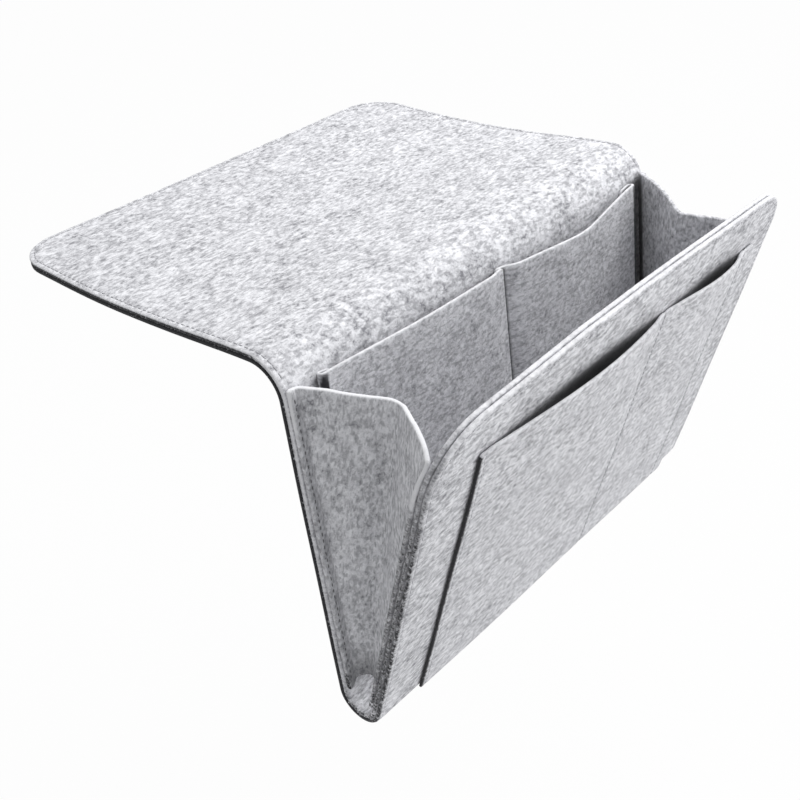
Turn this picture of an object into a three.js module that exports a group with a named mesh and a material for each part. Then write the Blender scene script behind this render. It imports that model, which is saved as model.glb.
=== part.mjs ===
// Felt bedside caddy: a long double felt strip whose flap is tucked under a mattress.
// The strip bends over the edge of the bed, hangs as the back wall, turns under at the foot
// and comes up again as a leaning front wall. Creased felt gussets close both ends of the
// pouch, a pair of pockets is sewn inside and a divided pocket is sewn on the front.
// Millimetres, +Z up, the pouch faces -Y. The origin is the middle of the flap's underside.

import * as THREE from 'three';

const { degToRad, smoothstep } = THREE.MathUtils;

// Felt
const FELT = 3.05; // one layer of felt
const LAYER_GAP = 0.3; // air left between felts that lie on or end at each other

// The strip, from the flap's free edge to the front wall's top edge
const WIDTH = 320;
const FLAP_LENGTH = 218;
const FLAP_CORNER_RADIUS = 30;
const FLAP_BEND_RADIUS = 23.4; // to the upper face
const BACK_HEIGHT = 195;
const BACK_TILT = degToRad(2.1); // how far the back wall's foot comes forward
const FOOT_BEND_RADIUS = 9.6; // to the inner face
const FRONT_HEIGHT = 225;
const FRONT_LEAN = degToRad(17.2); // how far the front wall opens outward
const FRONT_LEFT_CORNER_RADIUS = 46;
const FRONT_RIGHT_CORNER_RADIUS = 26;

// Gussets, measured up the walls from the level of the foot bend's centre
const FLANGE_WIDTH = 6.5; // edge that is turned out, flush with the strip's, and sewn to a wall
const CREASE_DEPTH = 25; // how far the crease is pushed in at the top of the back wall
const CREASE_LEG = 3.6; // felt on each side of the crease that bends
const GUSSET_BACK_RISE = 9; // back corner above the top of the back wall
const GUSSET_CREASE_DROP = 3; // crease below the top of the back wall
const GUSSET_FRONT_DROP = 25; // front corner below the front wall's top edge
const GUSSET_BACK_CROWN = 1.5; // rise of the rounded top edge behind the crease
const GUSSET_FRONT_CROWN = 3.5; // and in front of it
const GUSSET_SILL = 7; // gusset's lower corners above the foot bend's centre
const CABLE_ARCH_RISE = 5; // top of the arch left open for cables, above those corners

// Pockets inside the pouch, on the back wall
const INNER_POCKET_OUTER_MARGIN = 18; // from the strip's side edge
const INNER_POCKET_SEAM_X = 5; // where the two pockets meet
const INNER_POCKET_TOP_RISE = 7; // above the top of the back wall
const INNER_POCKET_HEIGHT = 160;
const INNER_POCKET_STANDOFF = 9.5;
const INNER_POCKET_OUTER_PLEAT = 16; // width over which the outer end swells
const INNER_POCKET_MIDDLE_PLEAT = 7; // the same beside the middle seam
const INNER_POCKET_FOOT_RISE = 22;

// Divided pocket on the front wall
const OUTER_POCKET_LEFT_MARGIN = 34;
const OUTER_POCKET_RIGHT_MARGIN = 25;
const OUTER_POCKET_DIVIDER_X = 35;
const OUTER_POCKET_TOP_DROP = 29.5; // below the front wall's top edge
const OUTER_POCKET_STANDOFF = 8;
const OUTER_POCKET_SWELL_START = 0.55; // shares of a mouth's width between which it
const OUTER_POCKET_SWELL_END = 0.8; // stands off most
const OUTER_POCKET_FLAT_FOOT = 40; // height that stays flat on the wall

// Sewn border of every pocket
const POCKET_SEAM = 5;

// Facets
const ARC_STEPS = 10;
const SHEET_COLUMNS = 30;
const SHEET_ROWS = 9;

// Values that follow from the driving dimensions
const STRIP = 2 * FELT + LAYER_GAP;
const HALF_WIDTH = WIDTH / 2;
const HALF_MOUTH_ANGLE = (BACK_TILT + FRONT_LEAN) / 2;
const FLANGE_INNER = HALF_WIDTH - FLANGE_WIDTH;
const HINGE_X = FLANGE_INNER - LAYER_GAP - FELT / 2; // a gusset panel folds beside its flange
const HINGE_OFFSET = LAYER_GAP + FELT / 2; // and clears the wall at every angle
const FLAP_BEND_CENTRE = new THREE.Vector3(0, -FLAP_LENGTH / 2, STRIP - FLAP_BEND_RADIUS);

const caddy = new THREE.Group();
caddy.name = 'bedside_caddy';

// Walls carry their own frames: X along the width, Z up the wall, Y = 0 on the inner face.
const backWall = new THREE.Group();
backWall.rotation.x = -BACK_TILT;
backWall.position.copy(FLAP_BEND_CENTRE);
backWall.position.y -= FLAP_BEND_RADIUS * Math.cos(BACK_TILT);
backWall.position.z += FLAP_BEND_RADIUS * Math.sin(BACK_TILT);
backWall.updateMatrix();
caddy.add(backWall);

const footCentre = new THREE.Vector3(0, -FOOT_BEND_RADIUS, -BACK_HEIGHT).applyMatrix4(backWall.matrix);

const frontWall = new THREE.Group();
frontWall.rotation.x = FRONT_LEAN;
frontWall.position.copy(footCentre);
frontWall.position.y -= FOOT_BEND_RADIUS * Math.cos(FRONT_LEAN);
frontWall.position.z -= FOOT_BEND_RADIUS * Math.sin(FRONT_LEAN);
caddy.add(frontWall);

function addFelt(parent, name, geometry, colour) {
  const material = new THREE.MeshStandardMaterial({ color: colour, roughness: 0.95, metalness: 0 });
  const mesh = new THREE.Mesh(geometry, material);
  mesh.name = name;
  parent.add(mesh);
  return mesh;
}

// A flat panel drawn in a wall's X and Z, from y down to y minus one felt.
function wallPanel(shape, y) {
  const geometry = new THREE.ExtrudeGeometry(shape, {
    depth: FELT,
    bevelEnabled: false,
    curveSegments: ARC_STEPS,
  });
  geometry.rotateX(Math.PI / 2);
  return geometry.translate(0, y, 0);
}

function rectangle(left, bottom, right, top) {
  const shape = new THREE.Shape();
  shape.moveTo(left, bottom);
  shape.lineTo(right, bottom);
  shape.lineTo(right, top);
  shape.lineTo(left, top);
  return shape;
}

// A rectangle as wide as the strip whose two far corners are round.
function roundedEnd(bottom, top, leftRadius, rightRadius) {
  const shape = new THREE.Shape();
  shape.moveTo(-HALF_WIDTH, bottom);
  shape.lineTo(HALF_WIDTH, bottom);
  shape.absarc(HALF_WIDTH - rightRadius, top - rightRadius, rightRadius, 0, Math.PI / 2, false);
  shape.absarc(leftRadius - HALF_WIDTH, top - leftRadius, leftRadius, Math.PI / 2, Math.PI, false);
  return shape;
}

// One felt of a bend: a ring sector in Y and Z, as wide as the strip, just short of the felts
// that it joins.
function bendFelt(centre, innerRadius, startAngle, endAngle) {
  const outerRadius = innerRadius + FELT;
  const trim = LAYER_GAP / innerRadius;
  const from = startAngle + trim;
  const to = endAngle - trim;
  const shape = new THREE.Shape();
  shape.absarc(centre.y, centre.z, outerRadius, from, to, false);
  shape.absarc(centre.y, centre.z, innerRadius, to, from, true);
  const geometry = new THREE.ExtrudeGeometry(shape, {
    depth: WIDTH,
    bevelEnabled: false,
    curveSegments: 2 * ARC_STEPS,
  });
  const turn = new THREE.Matrix4().makeBasis(
    new THREE.Vector3(0, 1, 0),
    new THREE.Vector3(0, 0, 1),
    new THREE.Vector3(1, 0, 0),
  );
  return geometry.applyMatrix4(turn).translate(-HALF_WIDTH, 0, 0);
}

// A closed sheet of felt over a wall's X and Z. standoff(x, z) is how far its near face stands
// off the face at y, towards -Y.
function pocketSheet(left, right, bottom, top, y, standoff) {
  const positions = [];
  const indices = [];
  const columnCount = SHEET_COLUMNS + 1;
  const layerCount = columnCount * (SHEET_ROWS + 1);
  for (const thickness of [0, FELT]) {
    for (let row = 0; row <= SHEET_ROWS; row += 1) {
      for (let column = 0; column <= SHEET_COLUMNS; column += 1) {
        const x = left + ((right - left) * column) / SHEET_COLUMNS;
        const z = bottom + ((top - bottom) * row) / SHEET_ROWS;
        positions.push(x, y - LAYER_GAP - standoff(x, z) - thickness, z);
      }
    }
  }
  const near = (column, row) => row * columnCount + column;
  const far = (column, row) => layerCount + near(column, row);
  const quad = (a, b, c, d) => indices.push(a, b, c, a, c, d);
  for (let row = 0; row < SHEET_ROWS; row += 1) {
    for (let column = 0; column < SHEET_COLUMNS; column += 1) {
      quad(far(column, row), far(column + 1, row), far(column + 1, row + 1), far(column, row + 1));
      quad(near(column, row), near(column, row + 1), near(column + 1, row + 1), near(column + 1, row));
    }
  }
  for (let column = 0; column < SHEET_COLUMNS; column += 1) {
    quad(near(column, 0), near(column + 1, 0), far(column + 1, 0), far(column, 0));
    quad(
      near(column, SHEET_ROWS),
      far(column, SHEET_ROWS),
      far(column + 1, SHEET_ROWS),
      near(column + 1, SHEET_ROWS),
    );
  }
  for (let row = 0; row < SHEET_ROWS; row += 1) {
    quad(near(0, row), far(0, row), far(0, row + 1), near(0, row + 1));
    quad(
      near(SHEET_COLUMNS, row),
      near(SHEET_COLUMNS, row + 1),
      far(SHEET_COLUMNS, row + 1),
      far(SHEET_COLUMNS, row),
    );
  }
  const geometry = new THREE.BufferGeometry();
  geometry.setAttribute('position', new THREE.Float32BufferAttribute(positions, 3));
  geometry.setIndex(indices);
  geometry.computeVertexNormals();
  return geometry;
}

// Flap: two felts that lie between the mattress and the bed base
const FLAP_GREY = '#d3d4d6';
for (const [name, z] of [['flap_upper_felt', FELT + LAYER_GAP], ['flap_lower_felt', 0]]) {
  const shape = roundedEnd(-FLAP_LENGTH / 2, FLAP_LENGTH / 2, FLAP_CORNER_RADIUS, FLAP_CORNER_RADIUS);
  const geometry = new THREE.ExtrudeGeometry(shape, {
    depth: FELT,
    bevelEnabled: false,
    curveSegments: ARC_STEPS,
  });
  addFelt(caddy, name, geometry.translate(0, 0, z), FLAP_GREY);
}

// Bend over the edge of the bed, and the foot bend that makes the bottom of the pouch
const flapBendStart = Math.PI / 2;
const flapBendEnd = Math.PI - BACK_TILT;
const footBendStart = Math.PI + FRONT_LEAN;
const footBendEnd = 2 * Math.PI - BACK_TILT;
const flapBendInner = FLAP_BEND_RADIUS - STRIP;
const outerFelt = FELT + LAYER_GAP;
const flapBendFelts = [['flap_bend_upper_felt', outerFelt], ['flap_bend_lower_felt', 0]];
for (const [name, out] of flapBendFelts) {
  const geometry = bendFelt(FLAP_BEND_CENTRE, flapBendInner + out, flapBendStart, flapBendEnd);
  addFelt(caddy, name, geometry, FLAP_GREY);
}
const BODY_GREY = '#c4c6ca';
for (const [name, out] of [['foot_bend_inner_felt', 0], ['foot_bend_outer_felt', outerFelt]]) {
  const geometry = bendFelt(footCentre, FOOT_BEND_RADIUS + out, footBendStart, footBendEnd);
  addFelt(caddy, name, geometry, BODY_GREY);
}

// Back wall and front wall, two felts each
const backShape = rectangle(-HALF_WIDTH, -BACK_HEIGHT, HALF_WIDTH, 0);
addFelt(backWall, 'back_wall_inner_felt', wallPanel(backShape, FELT), BODY_GREY);
addFelt(backWall, 'back_wall_outer_felt', wallPanel(backShape, STRIP), BODY_GREY);

const frontShape = roundedEnd(0, FRONT_HEIGHT, FRONT_LEFT_CORNER_RADIUS, FRONT_RIGHT_CORNER_RADIUS);
addFelt(frontWall, 'front_wall_inner_felt', wallPanel(frontShape, 0), BODY_GREY);
addFelt(frontWall, 'front_wall_outer_felt', wallPanel(frontShape, -outerFelt), BODY_GREY);

// Gussets. Each is one felt: two flanges sewn to the walls, two panels and the crease between
// them. The crease lies in the plane halfway between the walls.
const GUSSET_GREY = '#9b9da1';
const SIDES = [['left', -1, FRONT_LEFT_CORNER_RADIUS], ['right', 1, FRONT_RIGHT_CORNER_RADIUS]];
const gussetFrontTop = FRONT_HEIGHT - GUSSET_FRONT_DROP;
const gussetBackTop = BACK_HEIGHT + GUSSET_BACK_RISE;
const creaseTop = BACK_HEIGHT - GUSSET_CREASE_DROP;
const archTop = GUSSET_SILL + CABLE_ARCH_RISE;
const halfGap = (z) => FOOT_BEND_RADIUS - HINGE_OFFSET + z * Math.tan(HALF_MOUTH_ANGLE);
const FOLD_ANGLE = Math.atan(CREASE_DEPTH / halfGap(BACK_HEIGHT));
const panelWidth = (z) => halfGap(z) / Math.cos(FOLD_ANGLE) - CREASE_LEG - LAYER_GAP;

// A gusset panel in its own plane: X across it from the hinge line, Y up the wall.
function gussetPanel(hingeTop, crown) {
  const shape = new THREE.Shape();
  const creaseFoot = panelWidth(archTop);
  const creaseHead = panelWidth(creaseTop);
  const headMiddle = (creaseTop + hingeTop) / 2 + 2 * crown;
  shape.moveTo(0, GUSSET_SILL);
  shape.quadraticCurveTo(0, archTop, creaseFoot, archTop);
  shape.lineTo(creaseHead, creaseTop);
  shape.quadraticCurveTo(creaseHead / 2, headMiddle, 0, hingeTop);
  const geometry = new THREE.ExtrudeGeometry(shape, {
    depth: FELT,
    bevelEnabled: false,
    curveSegments: ARC_STEPS,
  });
  return geometry.translate(0, 0, -FELT / 2);
}

// The front flange beside the strip's right edge, turned over for the left side. It follows the
// front wall's round corner and ends at its panel's height, or where the corner leaves it.
function frontFlangeShape(side, cornerRadius) {
  const cornerStart = FRONT_HEIGHT - cornerRadius;
  const cornerX = HALF_WIDTH - cornerRadius;
  const headroom = cornerStart + Math.sqrt(cornerRadius ** 2 - (FLANGE_INNER - cornerX) ** 2);
  const top = Math.min(gussetFrontTop, headroom - LAYER_GAP);
  const shape = new THREE.Shape();
  shape.moveTo(FLANGE_INNER, GUSSET_SILL);
  shape.lineTo(HALF_WIDTH, GUSSET_SILL);
  if (top > cornerStart) {
    const endAngle = Math.asin((top - cornerStart) / cornerRadius);
    shape.absarc(cornerX, cornerStart, cornerRadius, 0, endAngle, false);
  } else {
    shape.lineTo(HALF_WIDTH, top);
  }
  shape.lineTo(FLANGE_INNER, top);
  const outline = shape.getPoints(ARC_STEPS).map((point) => new THREE.Vector2(side * point.x, point.y));
  return new THREE.Shape(outline);
}

// Section of the bent felt at the crease: two legs that meet at the origin.
function creaseShape(legs) {
  const half = FELT / 2;
  const [first, second] = legs.map((leg) => leg.clone().multiplyScalar(CREASE_LEG));
  const firstNormal = new THREE.Vector2(-legs[0].y, legs[0].x);
  const secondNormal = new THREE.Vector2(legs[1].y, -legs[1].x);
  const middle = firstNormal.clone().add(secondNormal);
  const mitre = middle.multiplyScalar(half / (1 + firstNormal.dot(secondNormal)));
  firstNormal.multiplyScalar(half);
  secondNormal.multiplyScalar(half);
  return new THREE.Shape([
    first.clone().add(firstNormal),
    mitre,
    second.clone().add(secondNormal),
    second.clone().sub(secondNormal),
    mitre.clone().negate(),
    first.clone().sub(firstNormal),
  ]);
}

function addGussetPanel(wall, name, side, inward, footZ, hingeTop, crown) {
  const across = new THREE.Vector3(-side * Math.sin(FOLD_ANGLE), inward * Math.cos(FOLD_ANGLE), 0);
  const up = new THREE.Vector3(0, 0, 1);
  const normal = new THREE.Vector3().crossVectors(across, up);
  const panel = addFelt(wall, name, gussetPanel(hingeTop, crown), GUSSET_GREY);
  panel.setRotationFromMatrix(new THREE.Matrix4().makeBasis(across, up, normal));
  panel.position.set(side * HINGE_X, inward * HINGE_OFFSET, footZ);
  return across;
}

for (const [word, side, cornerRadius] of SIDES) {
  const flangeLeft = side < 0 ? -HALF_WIDTH : FLANGE_INNER;
  const backFlange = rectangle(
    flangeLeft, GUSSET_SILL - BACK_HEIGHT, flangeLeft + FLANGE_WIDTH, GUSSET_BACK_RISE,
  );
  addFelt(backWall, `${word}_gusset_back_flange`, wallPanel(backFlange, -LAYER_GAP), GUSSET_GREY);
  const frontFlange = frontFlangeShape(side, cornerRadius);
  addFelt(frontWall, `${word}_gusset_front_flange`, wallPanel(frontFlange, outerFelt), GUSSET_GREY);

  const across = addGussetPanel(
    backWall, `${word}_gusset_back_panel`, side, -1, -BACK_HEIGHT, gussetBackTop, GUSSET_BACK_CROWN,
  );
  addGussetPanel(
    frontWall, `${word}_gusset_front_panel`, side, 1, 0, gussetFrontTop, GUSSET_FRONT_CROWN,
  );

  const creasePoint = (z) => new THREE.Vector3(
    side * (HINGE_X - halfGap(z) * Math.tan(FOLD_ANGLE)),
    -HINGE_OFFSET - halfGap(z),
    z - BACK_HEIGHT,
  );
  const creaseFoot = creasePoint(archTop);
  const along = creasePoint(creaseTop).sub(creaseFoot);
  const creaseLength = along.length();
  along.normalize();
  const middleNormal = new THREE.Vector3(0, Math.cos(HALF_MOUTH_ANGLE), Math.sin(HALF_MOUTH_ANGLE));
  const sideways = new THREE.Vector3().crossVectors(middleNormal, along);
  const backLeg = across.clone().negate();
  backLeg.addScaledVector(along, -backLeg.dot(along)).normalize();
  const legAcross = backLeg.dot(middleNormal);
  const legSideways = backLeg.dot(sideways);
  const section = creaseShape([
    new THREE.Vector2(legSideways, legAcross),
    new THREE.Vector2(legSideways, -legAcross),
  ]);
  const geometry = new THREE.ExtrudeGeometry(section, { depth: creaseLength, bevelEnabled: false });
  const crease = addFelt(backWall, `${word}_gusset_crease`, geometry, GUSSET_GREY);
  crease.setRotationFromMatrix(new THREE.Matrix4().makeBasis(sideways, middleNormal, along));
  crease.position.copy(creaseFoot);
}

// Inner pockets: sewn at both ends and along the foot, pleated so that the mouth stands open
const POCKET_GREY = '#a9abb0';
const innerTop = INNER_POCKET_TOP_RISE;
const innerBottom = innerTop - INNER_POCKET_HEIGHT;
for (const [word, side] of SIDES) {
  const outerEnd = side * (HALF_WIDTH - INNER_POCKET_OUTER_MARGIN);
  const middleEnd = INNER_POCKET_SEAM_X + (side * LAYER_GAP) / 2;
  const standoff = (x, z) => {
    const fromOuter = Math.abs(outerEnd - x);
    const fromMiddle = Math.abs(x - middleEnd);
    const outerRise = smoothstep(fromOuter, 0, INNER_POCKET_OUTER_PLEAT);
    const middleRise = smoothstep(fromMiddle, POCKET_SEAM, POCKET_SEAM + INNER_POCKET_MIDDLE_PLEAT);
    const footRise = smoothstep(z - innerBottom, POCKET_SEAM, POCKET_SEAM + INNER_POCKET_FOOT_RISE);
    return INNER_POCKET_STANDOFF * outerRise * middleRise * footRise;
  };
  const left = Math.min(outerEnd, middleEnd);
  const right = Math.max(outerEnd, middleEnd);
  const sheet = pocketSheet(left, right, innerBottom, innerTop, 0, standoff);
  addFelt(backWall, `${word}_inner_pocket`, sheet, POCKET_GREY);
}

// Outer pocket: one felt with a dividing seam, so it has a wide and a narrow mouth
const outerLeft = OUTER_POCKET_LEFT_MARGIN - HALF_WIDTH;
const outerRight = HALF_WIDTH - OUTER_POCKET_RIGHT_MARGIN;
const outerTop = FRONT_HEIGHT - OUTER_POCKET_TOP_DROP;
function outerStandoff(x, z) {
  const inLeft = x < OUTER_POCKET_DIVIDER_X;
  const start = inLeft ? outerLeft : OUTER_POCKET_DIVIDER_X;
  const end = inLeft ? OUTER_POCKET_DIVIDER_X : outerRight;
  const swellStart = start + OUTER_POCKET_SWELL_START * (end - start);
  const swellEnd = start + OUTER_POCKET_SWELL_END * (end - start);
  const rise = smoothstep(x, start + POCKET_SEAM, swellStart);
  const fall = 1 - smoothstep(x, swellEnd, end - POCKET_SEAM);
  return OUTER_POCKET_STANDOFF * rise * fall * smoothstep(z, OUTER_POCKET_FLAT_FOOT, outerTop);
}
const outerSheet = pocketSheet(outerLeft, outerRight, 0, outerTop, -STRIP, outerStandoff);
addFelt(frontWall, 'outer_pocket', outerSheet, BODY_GREY);

export default caddy;
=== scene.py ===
# %% [markdown]
# # A felt caddy for the side of a bed
#
# The real caddy is cut from one kind of thick grey felt. A long strip of two felts lies on the bed as a flap,
# bends over the edge, hangs down as the back of a pouch, turns round at the foot and comes up again as its
# front. Two folded gussets close the sides, two pleated pockets sit inside on the back wall, and one divided
# pocket sits outside on the front wall.
#
# The construction model is loaded first, as a fixed frame. Its bodies carry the motion and its solids stay
# for collision. Everything made below is placed in its coordinates, in metres, so nothing has to be fitted.

# %% Load the frame
import math

import bmesh
import bpy
import numpy as np
from mathutils import Matrix, Vector
from mathutils.geometry import delaunay_2d_cdt


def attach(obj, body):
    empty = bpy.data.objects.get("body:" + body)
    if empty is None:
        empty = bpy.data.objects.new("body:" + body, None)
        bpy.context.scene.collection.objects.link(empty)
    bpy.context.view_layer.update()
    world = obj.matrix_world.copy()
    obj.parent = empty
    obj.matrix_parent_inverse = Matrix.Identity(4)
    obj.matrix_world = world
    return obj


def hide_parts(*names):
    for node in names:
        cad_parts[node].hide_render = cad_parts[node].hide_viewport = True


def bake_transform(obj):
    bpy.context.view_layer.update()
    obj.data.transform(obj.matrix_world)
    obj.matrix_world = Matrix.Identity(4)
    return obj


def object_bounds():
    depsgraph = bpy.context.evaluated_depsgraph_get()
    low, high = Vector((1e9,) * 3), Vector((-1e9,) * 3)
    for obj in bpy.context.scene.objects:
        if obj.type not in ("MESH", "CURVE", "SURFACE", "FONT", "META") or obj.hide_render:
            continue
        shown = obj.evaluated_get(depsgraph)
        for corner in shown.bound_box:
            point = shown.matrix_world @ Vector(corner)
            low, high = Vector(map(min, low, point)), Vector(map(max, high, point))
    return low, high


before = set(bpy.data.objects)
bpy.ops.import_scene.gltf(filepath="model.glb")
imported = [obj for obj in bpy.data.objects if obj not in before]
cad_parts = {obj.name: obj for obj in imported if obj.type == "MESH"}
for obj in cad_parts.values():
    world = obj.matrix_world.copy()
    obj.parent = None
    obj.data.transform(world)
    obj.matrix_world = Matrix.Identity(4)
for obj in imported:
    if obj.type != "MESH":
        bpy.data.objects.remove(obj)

MM = 0.001
cad_low, cad_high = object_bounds()
print("construction box, mm:", [round(side / MM, 1) for side in cad_high - cad_low])

# %% [markdown]
# ## Camera
#
# The photograph looks down on the caddy from its front left corner, and the camera leans a little to one
# side. A camera can be aimed with a constraint, but then the lean is hard to set, so its three axes are
# worked out here and written into its matrix.

# %% Camera
CAMERA_AZIMUTH = math.radians(-44.41)
CAMERA_ELEVATION = math.radians(32.55)
CAMERA_LEAN = math.radians(-6.62)
CAMERA_PLACE = Vector((-0.4364, -0.4923, 0.2674))
CAMERA_LENS = 49.68
CAMERA_SENSOR = 36.0

level = Vector((math.cos(CAMERA_AZIMUTH), math.sin(CAMERA_AZIMUTH), 0.0))
ahead = Vector((-level.y, level.x, 0.0)) * math.cos(CAMERA_ELEVATION)
ahead.z = -math.sin(CAMERA_ELEVATION)
lifted = level.cross(ahead)
right = level * math.cos(CAMERA_LEAN) + lifted * math.sin(CAMERA_LEAN)
upward = lifted * math.cos(CAMERA_LEAN) - level * math.sin(CAMERA_LEAN)

camera_data = bpy.data.cameras.new("photo_camera")
camera_data.lens = CAMERA_LENS
camera_data.sensor_width = CAMERA_SENSOR
camera = bpy.data.objects.new("photo_camera", camera_data)
bpy.context.scene.collection.objects.link(camera)
camera.matrix_world = Matrix.Translation(CAMERA_PLACE) @ Matrix((right, upward, -ahead)).transposed().to_4x4()
bpy.context.scene.camera = camera
print("camera looks along", [round(value, 3) for value in ahead])

# %% [markdown]
# ## Studio
#
# The photograph is a cut-out on white: a broad light stands above the front right, a weaker one low in front,
# and the left side is in open shade. Two area lamps and a grey world give that. A narrow spot reaches into
# the cable hole, which is bright inside. The white comes from Light Path, so the camera sees white
# while the felt is lit at a plain level. The floor is pale and lies well below the foot, as under a bed, and
# keeps the caddy's soft shadow.

# %% Small helpers for node trees
def add_node(tree, kind, values=None, **settings):
    """Adds one node with its settings. An input that is given a socket is linked to it."""
    made = tree.nodes.new(kind)
    for key, value in settings.items():
        setattr(made, key, value)
    for key, value in (values or {}).items():
        if isinstance(value, bpy.types.NodeSocket):
            tree.links.new(value, made.inputs[key])
        else:
            made.inputs[key].default_value = value
    return made


def calc(tree, operation, *values, **settings):
    """The result of one Math node."""
    made = add_node(tree, "ShaderNodeMath", dict(enumerate(values)), operation=operation, **settings)
    return made.outputs[0]


def emptied(owner):
    """The node tree of a new world or material, with nothing in it."""
    owner.use_nodes = True
    owner.node_tree.nodes.clear()
    return owner.node_tree


def sees_background(tree):
    """1 for rays that should find the white background: camera, mirror and glass rays."""
    rays = add_node(tree, "ShaderNodeLightPath").outputs
    either = calc(tree, "MAXIMUM", rays["Is Camera Ray"], rays["Is Glossy Ray"])
    return calc(tree, "MAXIMUM", either, rays["Is Transmission Ray"])


print("node helpers ready")

# %% World
AMBIENT = 0.58
AMBIENT_COLOUR = (0.98, 0.99, 1.0, 1.0)
WHITE = (1.0, 1.0, 1.0, 1.0)

world = bpy.data.worlds.new("white_studio")
studio = emptied(world)
shade = add_node(studio, "ShaderNodeBackground", {"Color": AMBIENT_COLOUR, "Strength": AMBIENT})
white = add_node(studio, "ShaderNodeBackground", {"Color": WHITE, "Strength": 1.0})
choose = add_node(studio, "ShaderNodeMixShader",
                  {0: sees_background(studio), 1: shade.outputs[0], 2: white.outputs[0]})
add_node(studio, "ShaderNodeOutputWorld", {"Surface": choose.outputs[0]})
bpy.context.scene.world = world
bpy.context.scene.view_settings.view_transform = "Standard"
print("world ambient", AMBIENT)

# %% Floor
FLOOR_DROP = 0.20
FLOOR_HALF = 6.0
FLOOR_GREY = (0.62, 0.62, 0.62, 1.0)
FLOOR_WHITE_SHARE = 0.97

floor_mesh = bpy.data.meshes.new("studio_floor")
floor_z = cad_low.z - FLOOR_DROP
corners = [(sx * FLOOR_HALF, sy * FLOOR_HALF, floor_z) for sx, sy in ((-1, -1), (1, -1), (1, 1), (-1, 1))]
floor_mesh.from_pydata(corners, [], [(0, 1, 2, 3)])
floor = bpy.data.objects.new("studio_floor", floor_mesh)
bpy.context.scene.collection.objects.link(floor)

floor_paint = bpy.data.materials.new("pale_floor")
paint = emptied(floor_paint)
matt = add_node(paint, "ShaderNodeBsdfDiffuse", {"Color": FLOOR_GREY})
glow = add_node(paint, "ShaderNodeEmission", {"Color": WHITE, "Strength": 1.0})
lit_share = calc(paint, "MULTIPLY", sees_background(paint), FLOOR_WHITE_SHARE)
floor_mix = add_node(paint, "ShaderNodeMixShader", {0: lit_share, 1: matt.outputs[0], 2: glow.outputs[0]})
add_node(paint, "ShaderNodeOutputMaterial", {"Surface": floor_mix.outputs[0]})
floor_mesh.materials.append(floor_paint)
print("floor at", round(floor_z, 3), "m")

# %% Lamps
def hang(lamp, place, aim, power):
    """Sets a lamp at place, facing aim."""
    lamp.energy = power
    holder = bpy.data.objects.new(lamp.name, lamp)
    bpy.context.scene.collection.objects.link(holder)
    holder.location = place
    holder.rotation_mode = "QUATERNION"
    holder.rotation_quaternion = (Vector(aim) - Vector(place)).to_track_quat("-Z", "Y")
    print(lamp.name, power, "W")


def softbox(name, place, aim, size, power):
    """A square area lamp."""
    lamp = bpy.data.lights.new(name, "AREA")
    lamp.shape = "SQUARE"
    lamp.size = size
    hang(lamp, place, aim, power)


softbox("top_softbox", (0.90, -0.36, 1.30), (0.0, -0.05, -0.05), 1.2, 24.5)
softbox("front_fill", (0.60, -1.50, 0.0), (0.0, -0.16, -0.10), 0.9, 6.9)
hole_spot = bpy.data.lights.new("hole_spot", "SPOT")
hole_spot.spot_size = math.radians(1.9)
hole_spot.spot_blend = 0.8
hole_spot.shadow_soft_size = 0.01
hang(hole_spot, (-0.85, -0.42, -0.10), (-0.150, -0.151, -0.2165), 16.0)

# %% [markdown]
# ## Felt, as a shader
#
# Felt has no weave. Fibres of several greys are matted together, so from a step away it looks flecked, with
# flecks drawn out along the roll, soft clouds and single fibres on top. An image could show that, but a
# pattern made from noise has no seams and no fixed size. It is one node group, because the strip, the
# gussets and the pockets share it with different values. The pattern follows the flat cut of each piece, kept
# as the attribute "cut" on its mesh, so it bends with the felt as it does on the real one.

# %% Helpers for node groups
def new_group(name, inputs, outputs):
    """A shader group with named sockets, its incoming sockets and its outgoing ones."""
    tree = bpy.data.node_groups.new(name, "ShaderNodeTree")
    for way, sockets in (("INPUT", inputs), ("OUTPUT", outputs)):
        for title, kind in sockets.items():
            tree.interface.new_socket(title, in_out=way, socket_type="NodeSocket" + kind)
    return tree, add_node(tree, "NodeGroupInput").outputs, add_node(tree, "NodeGroupOutput").inputs


def mixed(tree, share, first, second):
    """A colour between two others."""
    return add_node(tree, "ShaderNodeMix", {0: share, 6: first, 7: second}, data_type="RGBA").outputs[2]


def product(tree, first, second):
    """Two vectors multiplied, axis by axis."""
    return add_node(tree, "ShaderNodeVectorMath", {0: first, 1: second}, operation="MULTIPLY").outputs[0]


def weighted(tree, value, weight, base=None):
    """base + (value - 0.5) * weight, with base left out as 0.5."""
    scaled = calc(tree, "MULTIPLY_ADD", value, weight, 0.5 - 0.5 * weight)
    if base is None:
        return scaled
    return calc(tree, "SUBTRACT", calc(tree, "ADD", base, scaled), 0.5)


def noise(tree, vector, scale, detail, roughness, distortion=0.0):
    """A noise value from 0 to 1; scale counts features per millimetre of the cut."""
    return add_node(tree, "ShaderNodeTexNoise", {"Vector": vector, "Scale": scale, "Detail": detail,
                                                 "Roughness": roughness, "Distortion": distortion},
                    noise_dimensions="3D").outputs[0]


TO_MILLIMETRES = (1000.0, 1000.0, 1000.0)
print("group helpers ready")

# %% Node group: flecked felt
CLOUD_WEIGHT = 0.30
GRAIN_WEIGHT = 0.25
SPECK_POWER = 0.6

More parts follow.
